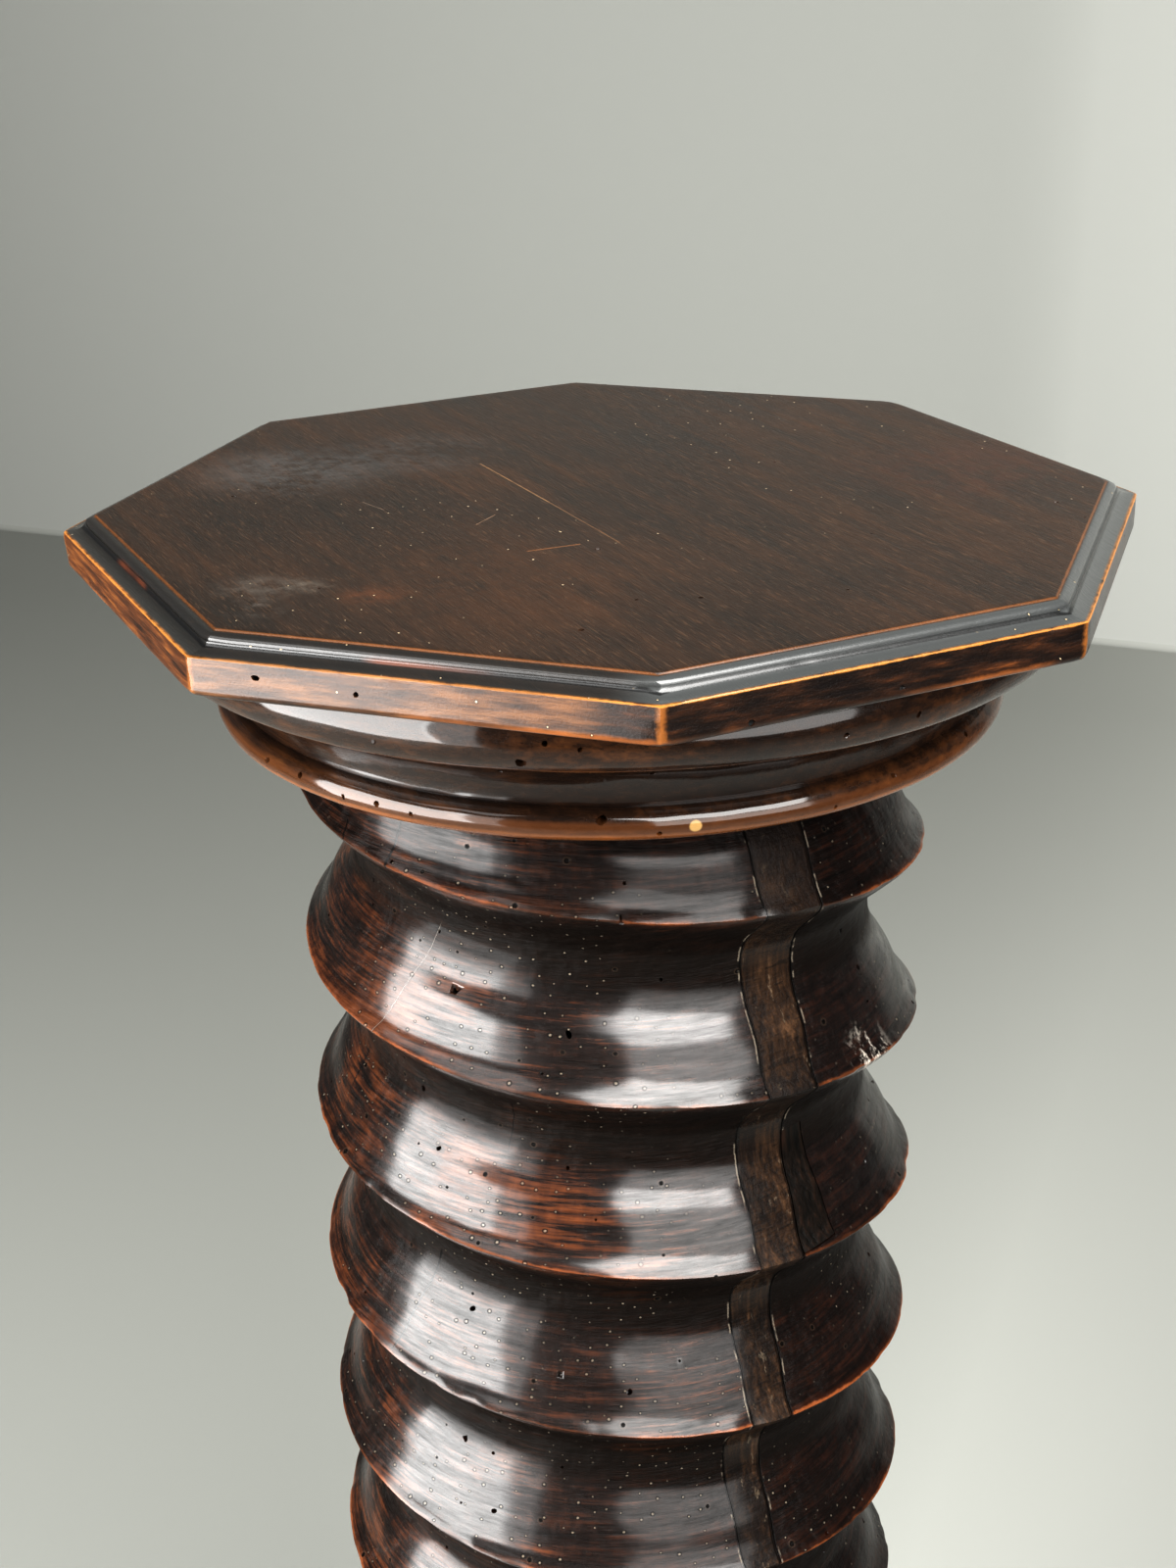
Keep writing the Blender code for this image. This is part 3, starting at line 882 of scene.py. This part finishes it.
# Noise that runs round the axis: its place is squeezed along the height and radius.
def aroundNoise(paint, radius, alongScale, acrossScale, *settings):
    across = paint.z * acrossScale - radius * (acrossScale * 0.6)
    where = paint.joined(paint.x / radius * alongScale, paint.y / radius * alongScale, across)
    return paint.noise(where, 1.0, *settings)


# Small pits scattered over a surface: discs round the points of a cell pattern, of which only the cells
# with a high random number have one. Returns the disc and the ring around it.
def pitMarks(paint, where, scale, width, share):
    settings = {"voronoi_dimensions": "2D"}
    values = {"Vector": where, "Scale": scale}
    distance = paint.node("ShaderNodeTexVoronoi", settings, values)
    tint = paint.node("ShaderNodeTexVoronoi", settings, values, 1)
    chosen = paint.node("ShaderNodeSeparateColor", {}, {0: tint}) > (1 - share)
    reach = width * scale * (0.55 + 0.45 * paint.node("ShaderNodeSeparateColor", {}, {0: tint}, 1))
    disc = paint.fall(distance / reach, 0.55, 0.95) * chosen
    ring = paint.fall(abs(distance / reach - 1.15), 0.15, 0.5) * chosen
    return disc, ring


# Finish of the screw: nearly black under the polish, with rust-brown patches, tool marks round the
# axis, pits with pale dust that also stands for their glints as a painted highlight, painted shade
# that darkens the downward lower flanks and roots to near black and the side away from the rubbed
# one, and thin worn crests.
def screwFinish(name):
    paint = Paint(name)
    angle, radius = roundThe(paint)
    turns = (screw["firstCrest"] - paint.z) / screw["pitch"] - angle
    share = turns.maths("FRACT", turns)
    toCrest = share.least(1 - share) * screw["pitch"]
    strokes = aroundNoise(paint, radius, 3.0, 240.0, 5.0, 0.65, 0.5)
    scrapes = aroundNoise(paint, radius, 12.0, 1100.0, 3.0, 0.7, 0.4)
    streaks = aroundNoise(paint, radius, 4.5, 620.0, 4.0, 0.7, 0.2)
    fibres = paint.streaked(260.0, 260.0, 14.0, 4.0, 0.6)
    clouds = paint.noise(paint.place, 15.0, 4.0, 0.6, 0.6)
    patches = paint.noise(paint.place, 6.0, 2.0, 0.5)
    dents = paint.noise(paint.place, 95.0, 2.0, 0.5)
    rubbedTurn = math.radians(photoAngle(screw["rubbedSide"]))
    rubbed = (paint.x * math.cos(rubbedTurn) + paint.y * math.sin(rubbedTurn)) / radius
    rust = clouds * 0.6 + patches * 0.4 + (streaks - 0.5) * 0.5 + (strokes - 0.5) * 0.35 + rubbed * 0.11
    rust = paint.rise(rust, 0.585, 0.74)
    colour = paint.ramp(strokes * 0.4 + fibres * 0.2 + streaks * 0.4, (
        (0.38, (5, 3, 2)), (0.50, (18, 10, 7)), (0.64, (46, 25, 15))))
    # Painted shade: the side away from the rubbed side, turned from the left window, is multiplied darker.
    colour = paint.tinted(paint.rise(rubbed, 0.55, -0.65) * 0.75, colour, (168, 140, 120))
    rusty = paint.ramp(streaks * 0.4 + fibres * 0.2 + clouds * 0.4, (
        (0.38, (30, 14, 7)), (0.50, (58, 28, 12)), (0.64, (96, 52, 23))))
    # under: the downward lower flank and root of each turn, darkened to near black below as painted shade
    under = paint.rise(share, 0.02, 0.10) * paint.fall(share, 0.47, 0.62)
    wander = paint.noise(paint.place, 210.0, 3.0, 0.6)
    crest = paint.fall(toCrest + (wander - 0.5) * 0.0016, 0.0001, 0.0009)
    glow = paint.fall(toCrest + (clouds - 0.5) * 0.010, 0.0004, 0.0036)
    crowd = paint.rise(paint.noise(paint.place, 11.0, 2.0), 0.40, 0.56)
    pit, rim = pitMarks(paint, paint.joined(angle * 0.72, paint.z * 1.35, 0.0), 150.0, 0.00078, 0.55)
    crater, lip = pitMarks(paint, paint.joined(angle * 0.71, paint.z * 1.3, 0.0), 58.0, 0.0012, 0.3)
    pit, rim = pit * crowd, rim * crowd
    # pit puts pale dust in the small pits that also stands for their glints, a painted highlight; lip is a
    # faint pale lip round the craters, lighter wood with a painted glint
    colour = paint.layered(
        colour, (rust * 0.55, rusty), (under * 0.85, (8, 4, 2)),
        (glow * paint.rise(clouds, 0.46, 0.62) * 0.4, (70, 32, 14)),
        (crest * (0.15 + 0.75 * paint.rise(clouds, 0.42, 0.60)), (104, 58, 30)),
        (rim * 0.8, (4, 3, 2)), (pit * 0.45, (136, 124, 108)), (crater, (5, 3, 2)),
        (lip * 0.06, (110, 90, 72)))
    cracks = None
    for start, end, width, dusty in crackLines:
        first, last = pixelOnScrew(start, 0.110), pixelOnScrew(end, 0.116)
        startTurn = turnShare(first)
        fall = (first.z - paint.z) / (first.z - last.z)
        off = abs(
            (angle - startTurn - fall * (turnShare(last) - startTurn)) * 0.70 + (wander - 0.5) * 0.0012)
        within = paint.rise(fall, -0.06, 0.04) * paint.fall(fall, 0.95, 1.08)
        line = paint.fall(off, width * 0.6, width * 1.8) * within
        strength, tint = (0.3, (150, 140, 130)) if dusty else (0.9, (3, 2, 2))
        colour = paint.blend(line * strength, colour, tint)
        cracks = line if cracks is None else cracks.most(line)
    border, chalky = stripBorder(paint)
    scuffCentre = pixelOnScrew(scuffPlace, 0.112)
    scuffCentre.xy *= 0.114 / 0.112
    scuffs = paint.rise(paint.streaked(150.0, 150.0, 70.0, 5.0, 0.75), 0.50, 0.62)
    scuffs = scuffs * paint.fall(paint.distanceTo(scuffCentre), 0.004, 0.017)
    colour = paint.layered(
        colour, (chalky * 0.4, (132, 122, 108)), (border * 0.85, (4, 3, 2)),
        (scuffs * 0.75, (176, 168, 158)))
    roughness = 0.26 + 0.16 * strokes + 0.10 * dents + 0.25 * scuffs + 0.15 * under
    coat = (0.25 + 0.9 * strokes + 0.6 * (scrapes - 0.5) + 0.5 * (streaks - 0.5)) * (1 - 0.85 * under)
    coat = coat * (1 - scuffs) * (1 - 0.5 * paint.rise(paint.z, 0.970, 0.995))
    coat = coat * (1 - 0.5 * paint.rise(paint.z, 0.955, 0.975) * paint.rise(rubbed, 0.7, 0.4))
    coat = coat * (1 - 0.45 * paint.rise(paint.z, 0.86, 0.82) * paint.rise(rubbed, 0.6, 0.3))
    coat = coat * (1 - crater) * (1 - rim * 0.6)
    height = (strokes * 0.7 + scrapes * 0.42 + streaks * 0.40 + fibres * 0.24 + dents * 2.3 - pit * 2.4
              - crater * 2.2 - cracks * 1.4 - border * 1.0)
    normal = paint.bump(height, 0.0010)
    plain = {"Coat Roughness": 0.16, "Coat IOR": 1.55, "IOR": 1.15}
    return paint.finish(plain, colour=colour, roughness=roughness, normal=normal, coat=coat)


# Groove along the strip's two long edges, from the distance sideways to the nearer edge, and the chalky
# line that runs beside it in places.
def stripBorder(paint):
    turn = math.radians(strip["angle"])
    sideways = paint.y * math.cos(turn) - paint.x * math.sin(turn)
    outward = paint.x * math.cos(turn) + paint.y * math.sin(turn)
    fall = (screwTop - paint.z) / strip["length"]
    middle, half = stripPlace(paint.z, paint.rise)
    wander = paint.streaked(60.0, 60.0, 130.0, 3.0, 0.6)
    off = abs(abs(sideways - middle) - half) + (wander - 0.5) * 0.0014
    within = (outward > 0.05) * paint.fall(fall, 0.98, 1.0)
    near = paint.fall(off, 0.0002, 0.0009) * within
    beside = paint.fall(abs(off - 0.0011), 0.0001, 0.0005) * paint.rise(wander, 0.50, 0.58) * within
    return near, beside


# Finish of the let-in strip: greyer and duller, with upright fibres and scored across in places.
def stripFinish():
    paint = Paint("let-in strip")
    border, _ = stripBorder(paint)
    streaks = paint.streaked(480.0, 480.0, 22.0, 5.0, 0.65)
    clouds = paint.streaked(45.0, 45.0, 22.0, 3.0, 0.6)
    scores = paint.streaked(50.0, 50.0, 420.0, 4.0, 0.65)
    colour = paint.ramp(streaks * 0.45 + clouds * 0.40 + scores * 0.15, (
        (0.36, (7, 4, 3)), (0.47, (18, 11, 7)), (0.56, (38, 25, 15)),
        (0.68, (76, 54, 36))))
    pale = paint.rise(paint.streaked(260.0, 260.0, 60.0, 4.0, 0.7), 0.62, 0.70)
    colour = paint.layered(
        colour, (paint.rise(scores, 0.56, 0.62) * 0.7, (6, 4, 3)), (border * 0.75, (5, 3, 2)),
        (pale * 0.25, (120, 106, 88)), (paint.rise(paint.z, 0.955, 0.985) * 0.65, (16, 9, 6)))
    height = streaks * 0.8 + scores * 0.9 - border * 0.9
    normal = paint.bump(height, 0.0007)
    plain = {"Coat Roughness": 0.16, "Coat Weight": 0.3, "IOR": 1.15}
    return paint.finish(plain, colour=colour, roughness=0.30 + 0.22 * streaks, normal=normal)


# Finish of the dark wedge: nearly black with upright fibres.
def wedgeFinish():
    paint = Paint("dark wedge")
    streaks = paint.streaked(420.0, 420.0, 26.0, 5.0, 0.6)
    colour = paint.ramp(streaks, (
        (0.35, (4, 3, 2)), (0.55, (13, 8, 5)), (0.72, (28, 16, 9))))
    normal = paint.bump(streaks, 0.0006)
    plain = {"Coat Roughness": 0.2, "Coat Weight": 0.15, "IOR": 1.15}
    return paint.finish(plain, colour=colour, roughness=0.36 + 0.2 * streaks, normal=normal)


# marks on the top, each from one pixel of the photograph to another: width in metres, tint, strength
topMarks = (
    ((490, 473), (560, 512), 0.00026, (130, 98, 66), 0.55),
    ((560, 512), (632, 553), 0.00022, (110, 80, 54), 0.50),
    ((539, 562), (591, 555), 0.00045, (122, 80, 46), 0.45),
    ((735, 452), (748, 460), 0.00030, (18, 12, 9), 0.80),
    ((748, 460), (758, 474), 0.00030, (18, 12, 9), 0.80),
    ((701, 489), (725, 486), 0.00026, (22, 15, 11), 0.80),
    ((725, 486), (748, 495), 0.00026, (22, 15, 11), 0.80),
    ((486, 535), (505, 525), 0.00020, (130, 104, 82), 0.45),
    ((370, 512), (392, 520), 0.00020, (120, 100, 84), 0.40),
)
# soft areas of the top, each round a pixel: the reach in metres, tint, strength, and extra roughness
topAreas = (
    ((262, 600), 0.020, (92, 88, 82), 0.28, 0.20),
    ((300, 480), 0.050, (84, 86, 86), 0.30, 0.10),
    ((430, 462), 0.040, (84, 86, 86), 0.22, 0.10),
    ((315, 598), 0.012, (100, 96, 88), 0.30, 0.20),
    ((258, 622), 0.014, (100, 96, 90), 0.30, 0.20),
    ((380, 608), 0.014, (84, 48, 26), 0.45, 0.0),
    ((980, 478), 0.060, (58, 30, 18), 0.40, 0.0),
    ((500, 590), 0.075, (52, 31, 17), 0.40, 0.0),
)


# Finish of the top: dark walnut with its grain along one direction, thin worn edges, a painted sheen on the
# moulding and painted shade in its quirk, and on the sides' rounded lower edge wear with a painted
# reflection.
def topFinish(name, top, arrisDrop, marked):
    paint = Paint(name)
    wide = paint.grained(9.0, 120.0, 120.0, 4.0, 0.62, 0.3)
    narrow = paint.grained(60.0, 1100.0, 700.0, 3.0, 0.7)
    dashes = paint.grained(130.0, 1500.0, 1500.0, 2.0, 0.6)
    clouds = paint.noise(paint.place, 13.0, 3.0, 0.6)
    colour = paint.ramp(wide * 0.55 + clouds * 0.45, (
        (0.34, (21, 15, 11)), (0.50, (33, 22, 15)), (0.62, (43, 28, 18)),
        (0.78, (60, 38, 24))))
    colour = paint.blend(paint.rise(dashes, 0.56, 0.70) * 0.3, colour, (84, 62, 44))
    colour = paint.tinted(paint.rise(narrow, 0.50, 0.66, 0.0, 0.45), colour, (120, 112, 104))
    absX, absY = abs(paint.x), abs(paint.y)
    diagonal = (absX + absY) * math.sqrt(0.5)
    farthest = absX.most(absY).most(diagonal)
    smaller, larger = absX.least(absY), absX.most(absY)
    middle = smaller.most(larger.least(diagonal))
    corner = (farthest - middle) / (2 * math.sin(math.pi / 8))
    wander = paint.noise(paint.place, 170.0, 4.0, 0.65)
    extra = clouds * 0.08
    if marked:
        for pixel, reach, tint, strength, dull in topAreas:
            off = paint.distanceTo(pixelOnLevel(pixel, top))
            area = paint.fall(off, reach * 0.2, reach) * paint.rise(wander + clouds - 0.5, 0.30, 0.75)
            area = area * (farthest < slab["halfWidth"] - slab["border"])
            colour = paint.blend(area * strength, colour, tint)
            extra = extra + area * dull
        for start, end, width, tint, strength in topMarks:
            off = paint.lineDistance(pixelOnLevel(start, top), pixelOnLevel(end, top))
            off = off + (wander - 0.5) * 0.0007
            line = paint.fall(off, width * 0.4, width * 1.6)
            colour = paint.blend(line * strength, colour, tint)
        field = slab["halfWidth"] - slab["border"]
        # moulding and sheenSide give the moulding a grey painted sheen, lighter towards +X: painted
        # reflection; quirkShade is painted shade in the quirk
        moulding = paint.rise(farthest, field + 0.0002, field + 0.0012)
        sheenSide = paint.rise(paint.x, 0.055, 0.075)
        quirkShade = paint.fall(abs(farthest - field - 0.0046), 0.0003, 0.0007)
        fieldEdge = paint.fall(abs(farthest - field) + (wander - 0.5) * 0.0007, 0.0001, 0.0006)
        fieldEdge = fieldEdge * paint.rise(paint.z, top - 0.0012, top - 0.0008)
        quirk = paint.fall(abs(farthest - field - 0.0044), 0.0002, 0.0008)
        rubbed = paint.rise(clouds, 0.48, 0.56) * paint.rise(-paint.x, -0.03, 0.01)
        colour = paint.layered(
            colour, (moulding * 0.85, (25, 25, 24)), (moulding * sheenSide * 0.7, (56, 58, 58)),
            (quirkShade * 0.8, (5, 5, 5)), (fieldEdge * (0.15 + 0.6 * clouds), (100, 62, 32)),
            (quirk * rubbed * 0.35, (110, 56, 28)))
    sideStart, sideEnd = 0.1790, 0.1799
    side = paint.rise(farthest, sideStart, sideEnd)
    sideWide = paint.grained(26.0, 60.0, 420.0, 4.0, 0.62)
    sideColour = paint.ramp(sideWide * 0.7 + clouds * 0.3, (
        (0.38, (8, 4, 3)), (0.48, (18, 9, 5)), (0.58, (36, 19, 9)),
        (0.70, (76, 43, 19))))
    lightFace = paint.rise(-paint.y, sideStart, sideEnd) * paint.fall(paint.x, 0.045, 0.062)
    sideColour = paint.blend(lightFace * 0.85, sideColour, paint.ramp(sideWide * 0.8 + clouds * 0.2, (
        (0.36, (32, 18, 9)), (0.48, (58, 35, 18)), (0.60, (86, 56, 31)))))
    leftFace = paint.rise(-(paint.x + paint.y) * math.sqrt(0.5), sideStart, sideEnd)
    sideColour = paint.blend(leftFace * 0.7, sideColour, paint.ramp(sideWide * 0.6 + narrow * 0.4, (
        (0.38, (28, 13, 6)), (0.52, (84, 46, 20)), (0.66, (128, 80, 36)))))
    nearCorner = paint.fall(corner + (wander - 0.5) * 0.005, 0.0002, 0.0022)
    drop = top - paint.z
    arris = paint.fall(abs(drop - arrisDrop) + (wander - 0.5) * 0.0009, 0.0001, 0.0005)
    arris = arris * paint.rise(farthest, 0.1788, 0.1798) * (1 - 0.5 * lightFace)
    # lowEdge turns the sides' rounded lower edge orange: worn wood there, with a painted reflection on its
    # rounded face
    lowEdge = paint.rise(drop + (wander - 0.5) * 0.002, 0.0158, 0.0178) * paint.rise(clouds, 0.45, 0.6)
    speck, ring = pitMarks(paint, paint.joined(paint.x, paint.y + paint.z, 0.0), 92.0, 0.00058, 0.4)
    crowd = paint.rise(paint.noise(paint.place, 14.0, 1.0), 0.54, 0.62)
    speck, ring = speck * crowd, ring * crowd
    colour = paint.layered(
        colour, (side, sideColour), (nearCorner * side * 0.6, (122, 76, 34)),
        (arris * 0.75, (146, 98, 46)), (lowEdge * side * 0.6, (140, 82, 36)),
        (ring * 0.5, (6, 4, 3)), (speck * 0.6, (196, 176, 144)))
    roughness = 0.24 + 0.14 * wide + extra
    normal = paint.bump(wide * 0.35 + narrow * 0.3 + dashes * 0.35 + sideWide * side * 0.5 - speck, 0.0004)
    coat = 0.16 + paint.rise(farthest, 0.1690, 0.1715) * 0.7 - side * 0.45
    plain = {"Coat Roughness": 0.17, "IOR": 1.2}
    return paint.finish(plain, colour=colour, roughness=roughness, normal=normal, coat=coat)


# Finish of the turned mouldings: brown, with its grain like the top's, black in the hollows and rubbed
# to gold along some edges.
def turnedFinish(name, top, facts):
    paint = Paint(name)
    _, radius = roundThe(paint)
    grain = paint.grained(16.0, 190.0, 420.0, 5.0, 0.62)
    fine = paint.grained(90.0, 1000.0, 1200.0, 3.0, 0.7)
    turning = aroundNoise(paint, radius, 2.0, 1100.0, 2.0, 0.6)
    clouds = paint.noise(paint.place, 18.0, 3.0, 0.6)
    colour = paint.ramp(grain * 0.5 + clouds * 0.5, (
        (0.36, (18, 10, 6)), (0.48, (30, 17, 9)), (0.58, (50, 29, 14)),
        (0.70, (76, 46, 22))))
    colour = paint.tinted(paint.rise(fine, 0.5, 0.7, 0.0, 0.3), colour, (90, 76, 68))
    drop = top - paint.z
    for start, end, strength, tint in facts["bands"]:
        band = paint.rise(drop, start, start + 0.0016) * paint.fall(drop, end - 0.0016, end)
        band = band * paint.rise(radius, 0.100, 0.120)
        colour = paint.blend(band * strength, colour, tint)
    wander = paint.noise(paint.place, 170.0, 4.0, 0.65)
    for level, width, strength, tint in facts["wornLines"]:
        worn = paint.fall(abs(drop - level) + (wander - 0.5) * 0.0014, width * 0.3, width)
        worn = worn * paint.rise(radius, 0.12, 0.13) * (0.45 + 0.55 * paint.rise(clouds, 0.42, 0.58))
        colour = paint.blend(worn * strength, colour, tint)
    for pixel, distance, reach, tint in facts["plugs"]:
        off = paint.distanceTo(pixelOnScrew(pixel, distance))
        colour = paint.blend(paint.fall(off, reach * 0.75, reach * 1.05), colour, tint)
    roughness = 0.20 + 0.16 * grain
    normal = paint.bump(grain * 0.5 + fine * 0.25 + turning * 0.3, 0.0005)
    plain = {"Coat Roughness": 0.09, "Coat Weight": 0.7, "IOR": 1.12}
    return paint.finish(plain, colour=colour, roughness=roughness, normal=normal)


# The screw with its slots and holes, and the two let-in pieces, cut from a slightly lower thread.
def buildScrew():
    thread = threadMesh("thread", 0.0)
    print("thread made")
    inlay = threadMesh("inlay", screw["inlayDrop"])

    def outerFlank(centres, normals):
        turn = math.radians(strip["angle"])
        sideways = -math.sin(turn) * centres[:, 0] + math.cos(turn) * centres[:, 1]
        outward = math.cos(turn) * centres[:, 0] + math.sin(turn) * centres[:, 1]
        middle, half = stripPlace(centres[:, 2])
        clear = (np.abs(sideways - middle) > half + 0.022) | (outward < 0)
        within = (centres[:, 2] < screwTop - 0.006) & (centres[:, 2] > screwFoot + 0.006)
        return clear & within & (normals[:, 2] > -0.45)

    holes = wormHoles("screw holes", thread, screwHoles, outerFlank)
    gap = strip["gap"]
    shaft = cutMesh(thread, (
        ("DIFFERENCE", stripPrism("strip slot", gap)), ("DIFFERENCE", wedgePrism("wedge slot", gap)),
        ("DIFFERENCE", holes)))
    print("screw cut")
    filler = cutMesh(inlay, (("INTERSECT", stripPrism("strip", 0.0)),))
    patch = cutMesh(inlay, (("INTERSECT", wedgePrism("wedge", 0.0)),))
    finishPiece("pressScrew", shaft, screwFinish("old screw"), "screw_shaft", 42)
    finishPiece("letInStrip", filler, stripFinish(), "crack_filler", 42)
    finishPiece("darkWedge", patch, wedgeFinish(), "wedge_patch", 42)


# The top with its worm holes, and the plain plinth in the same finish.
def buildTop():
    blank = slabMesh()

    def edgeOrTop(centres, normals):
        return (normals[:, 2] > -0.2) & (np.linalg.norm(centres[:, :2], axis=1) > 0.05)

    holes = wormHoles("slab holes", blank, slab["holes"], edgeOrTop)
    mesh = cutMesh(blank, (("DIFFERENCE", holes),))
    finishPiece("octagonTop", mesh, topFinish("polished top", slabTop, 0.0060, True),
                "top_slab", 40)
    finish = topFinish("polished plinth", heightsOf("plinth")[1], plinth["chamfer"], False)
    finishPiece("octagonPlinth", plinthMesh(), finish, "plinth", 40)


# The two turned mouldings with their worm holes.
def buildMouldings():
    def outside(centres, normals):
        return (np.linalg.norm(centres[:, :2], axis=1) > 0.142) & (normals[:, 2] > -0.75)

    for facts, section, name, node, paintName in (
            (capital, capitalSection(), "capitalRings", "capital", "turned moulding"),
            (base, baseSection(), "baseRings", "base_moulding", "turned base")):
        blank = turnedMesh(name + " blank", section, facts["columns"], 0.0002, facts["seed"])
        mesh = cutMesh(blank, (("DIFFERENCE", wormHoles(name + " holes", blank, facts["holes"], outside)),))
        finish = turnedFinish(paintName, heightsOf(node)[1], facts)
        finishPiece(name, mesh, finish, node, 40)


# the room: a pale floor and a pale wall that meets it along a line through two pixels of the picture
room = {
    "wallFoot": ((15, 541), (1185, 663)),
    "corner": 0.012,  # radius of the bend between floor and wall
    "wallHeight": 4.5,
    "leftWidth": 4.0,
    "rightWidth": 3.4,
    "depth": 7.0,
    # painted shade: the floor and wall colours grow darker towards the left
    "edge": 0.45,  # the floor and wall grow darker to the left over this reach
}


# Sheet: the section goes along the floor to the wall's foot, round a quarter circle and up the wall,
# and is carried along the line of the wall's foot.
def stageMesh():
    first, last = [pixelOnLevel(pixel, 0.0) for pixel in room["wallFoot"]]
    along = np.array((last.x - first.x, last.y - first.y))
    along /= np.linalg.norm(along)
    towards = np.array((along[1], -along[0]))
    middle = np.array(((first.x + last.x) / 2, (first.y + last.y) / 2))
    bend = np.linspace(0, np.pi / 2, 9)
    out = np.concatenate((
        np.linspace(room["depth"], room["corner"], 24)[:-1],
        room["corner"] * (1 - np.sin(bend)),
        np.zeros(12)))
    up = np.concatenate((
        np.zeros(23), room["corner"] * (1 - np.cos(bend)),
        np.linspace(room["corner"], room["wallHeight"], 13)[1:]))
    across = np.linspace(-room["leftWidth"], room["rightWidth"], 30)
    ground = middle + along * across[None, :, None] + towards * out[:, None, None]
    points = np.concatenate((ground, np.broadcast_to(up[:, None, None], ground.shape[:2] + (1,))), axis=-1)
    index = np.arange(points.shape[0] * points.shape[1]).reshape(points.shape[:2])
    quads = gridQuads(index, False, True)
    return newMesh("room", points, list(quads)), along.tolist(), towards.tolist(), middle.tolist()


# The pale sheet, with painted light and shade in its colour by the distance along the wall and by how far the
# floor is in front of it: darker to the left, lighter to the right, and a painted shade on the floor in front
# of the part.
def buildRoom():
    mesh, along, towards, middle = stageMesh()
    mesh.shade_smooth()
    mesh.set_sharp_from_angle(angle=math.radians(60))
    paint = Paint("pale room")
    sideways = paint.x * along[0] + paint.y * along[1]
    outward = (paint.x - middle[0]) * towards[0] + (paint.y - middle[1]) * towards[1]
    # Painted light and shade: wall and floor colours darker on the left and lighter on the right, the floor
    # also changing with its distance from the wall
    acrossWall = paint.rise(sideways, -room["edge"], room["edge"])
    wallColour = paint.ramp(acrossWall, (
        (0.0, (0.33, 0.335, 0.314, 1.0)), (0.1, (0.38, 0.385, 0.362, 1.0)),
        (1.0, (0.46, 0.465, 0.438, 1.0))))
    floorColour = paint.ramp(acrossWall, (
        (0.0, (0.27, 0.275, 0.255, 1.0)), (0.5, (0.33, 0.335, 0.312, 1.0)),
        (1.0, (0.27, 0.274, 0.256, 1.0))))
    far = paint.fall(outward, 0.1, 2.6)
    floorColour = paint.blend(far, floorColour, paint.ramp(acrossWall, (
        (0.0, (0.30, 0.305, 0.282, 1.0)), (1.0, (0.50, 0.505, 0.472, 1.0)))))
    # Painted shade: the floor beyond the part, towards the camera, is a darker grey.
    standing = -middle[0] * towards[0] - middle[1] * towards[1]
    front = paint.rise(outward, standing + 0.1, standing + 1.2)
    floorColour = paint.blend(front, floorColour, (0.22, 0.225, 0.212, 1.0))
    colour = paint.blend(paint.z < 0.01, wallColour, floorColour)
    mesh.materials.append(paint.finish({"Roughness": 0.85, "Specular IOR Level": 0.2}, colour=colour))
    newObject("room", mesh)


# lights: name, degrees to the right of the camera, degrees up, distance, width, height, brightness, colour
lamps = (
    ("windowLeft", -63.0, 0.0, 2.0, 1.7, 1.9, 17.0, (1.0, 1.0, 0.99)),
    ("windowLeftEdge", -36.0, 0.0, 2.0, 0.4, 1.9, 4.5, (1.0, 1.0, 0.99)),
    ("windowLeftTop", -60.0, 48.0, 2.0, 1.6, 0.8, 4.0, (1.0, 1.0, 0.99)),
    ("lampFront", 31.0, 49.0, 1.6, 1.3, 1.55, 19.0, (1.0, 0.99, 0.97)),
    ("lampFrontLow", 31.0, 8.0, 1.6, 1.3, 0.75, 6.5, (1.0, 0.99, 0.97)),
)


# Lamps round a point of the screw, each turned to face it, and a faint even light.
def buildLights():
    middle = Vector((0.0, 0.0, 0.95))
    for name, azimuth, elevation, distance, width, height, brightness, colour in lamps:
        turn, lift = math.radians(photoAngle(azimuth)), math.radians(elevation)
        offset = Vector((
            math.cos(turn) * math.cos(lift), math.sin(turn) * math.cos(lift), math.sin(lift)))
        light = bpy.data.lights.new(name, "AREA")
        light.shape = "RECTANGLE"
        light.size, light.size_y = width, height
        light.energy = brightness * math.pi * width * height
        light.color = colour
        turned = offset.to_track_quat("Z", "Y").to_matrix().to_4x4()
        newObject(name, light).matrix_world = Matrix.Translation(middle + offset * distance) @ turned
    world = bpy.data.worlds.new("room light")
    world.use_nodes = True
    background = world.node_tree.nodes["Background"]
    background.inputs["Color"].default_value = (0.93, 0.96, 1.0, 1.0)
    background.inputs["Strength"].default_value = 0.11
    bpy.context.scene.world = world
    settings = bpy.context.scene.view_settings
    settings.view_transform, settings.exposure, settings.gamma = "Standard", 0.2, 0.82


# The camera at the photograph's place.
def buildCamera():
    camera = bpy.data.cameras.new("camera")
    camera.lens = view["lens"]
    camera.sensor_width = view["sensor"]
    camera.sensor_fit = "AUTO"
    camera.clip_start = 0.01
    item = newObject("camera", camera)
    item.matrix_world = cameraMatrix()
    bpy.context.scene.camera = item


buildCamera()
buildRoom()
buildLights()
buildScrew()
buildTop()
buildMouldings()
print("pieces made")
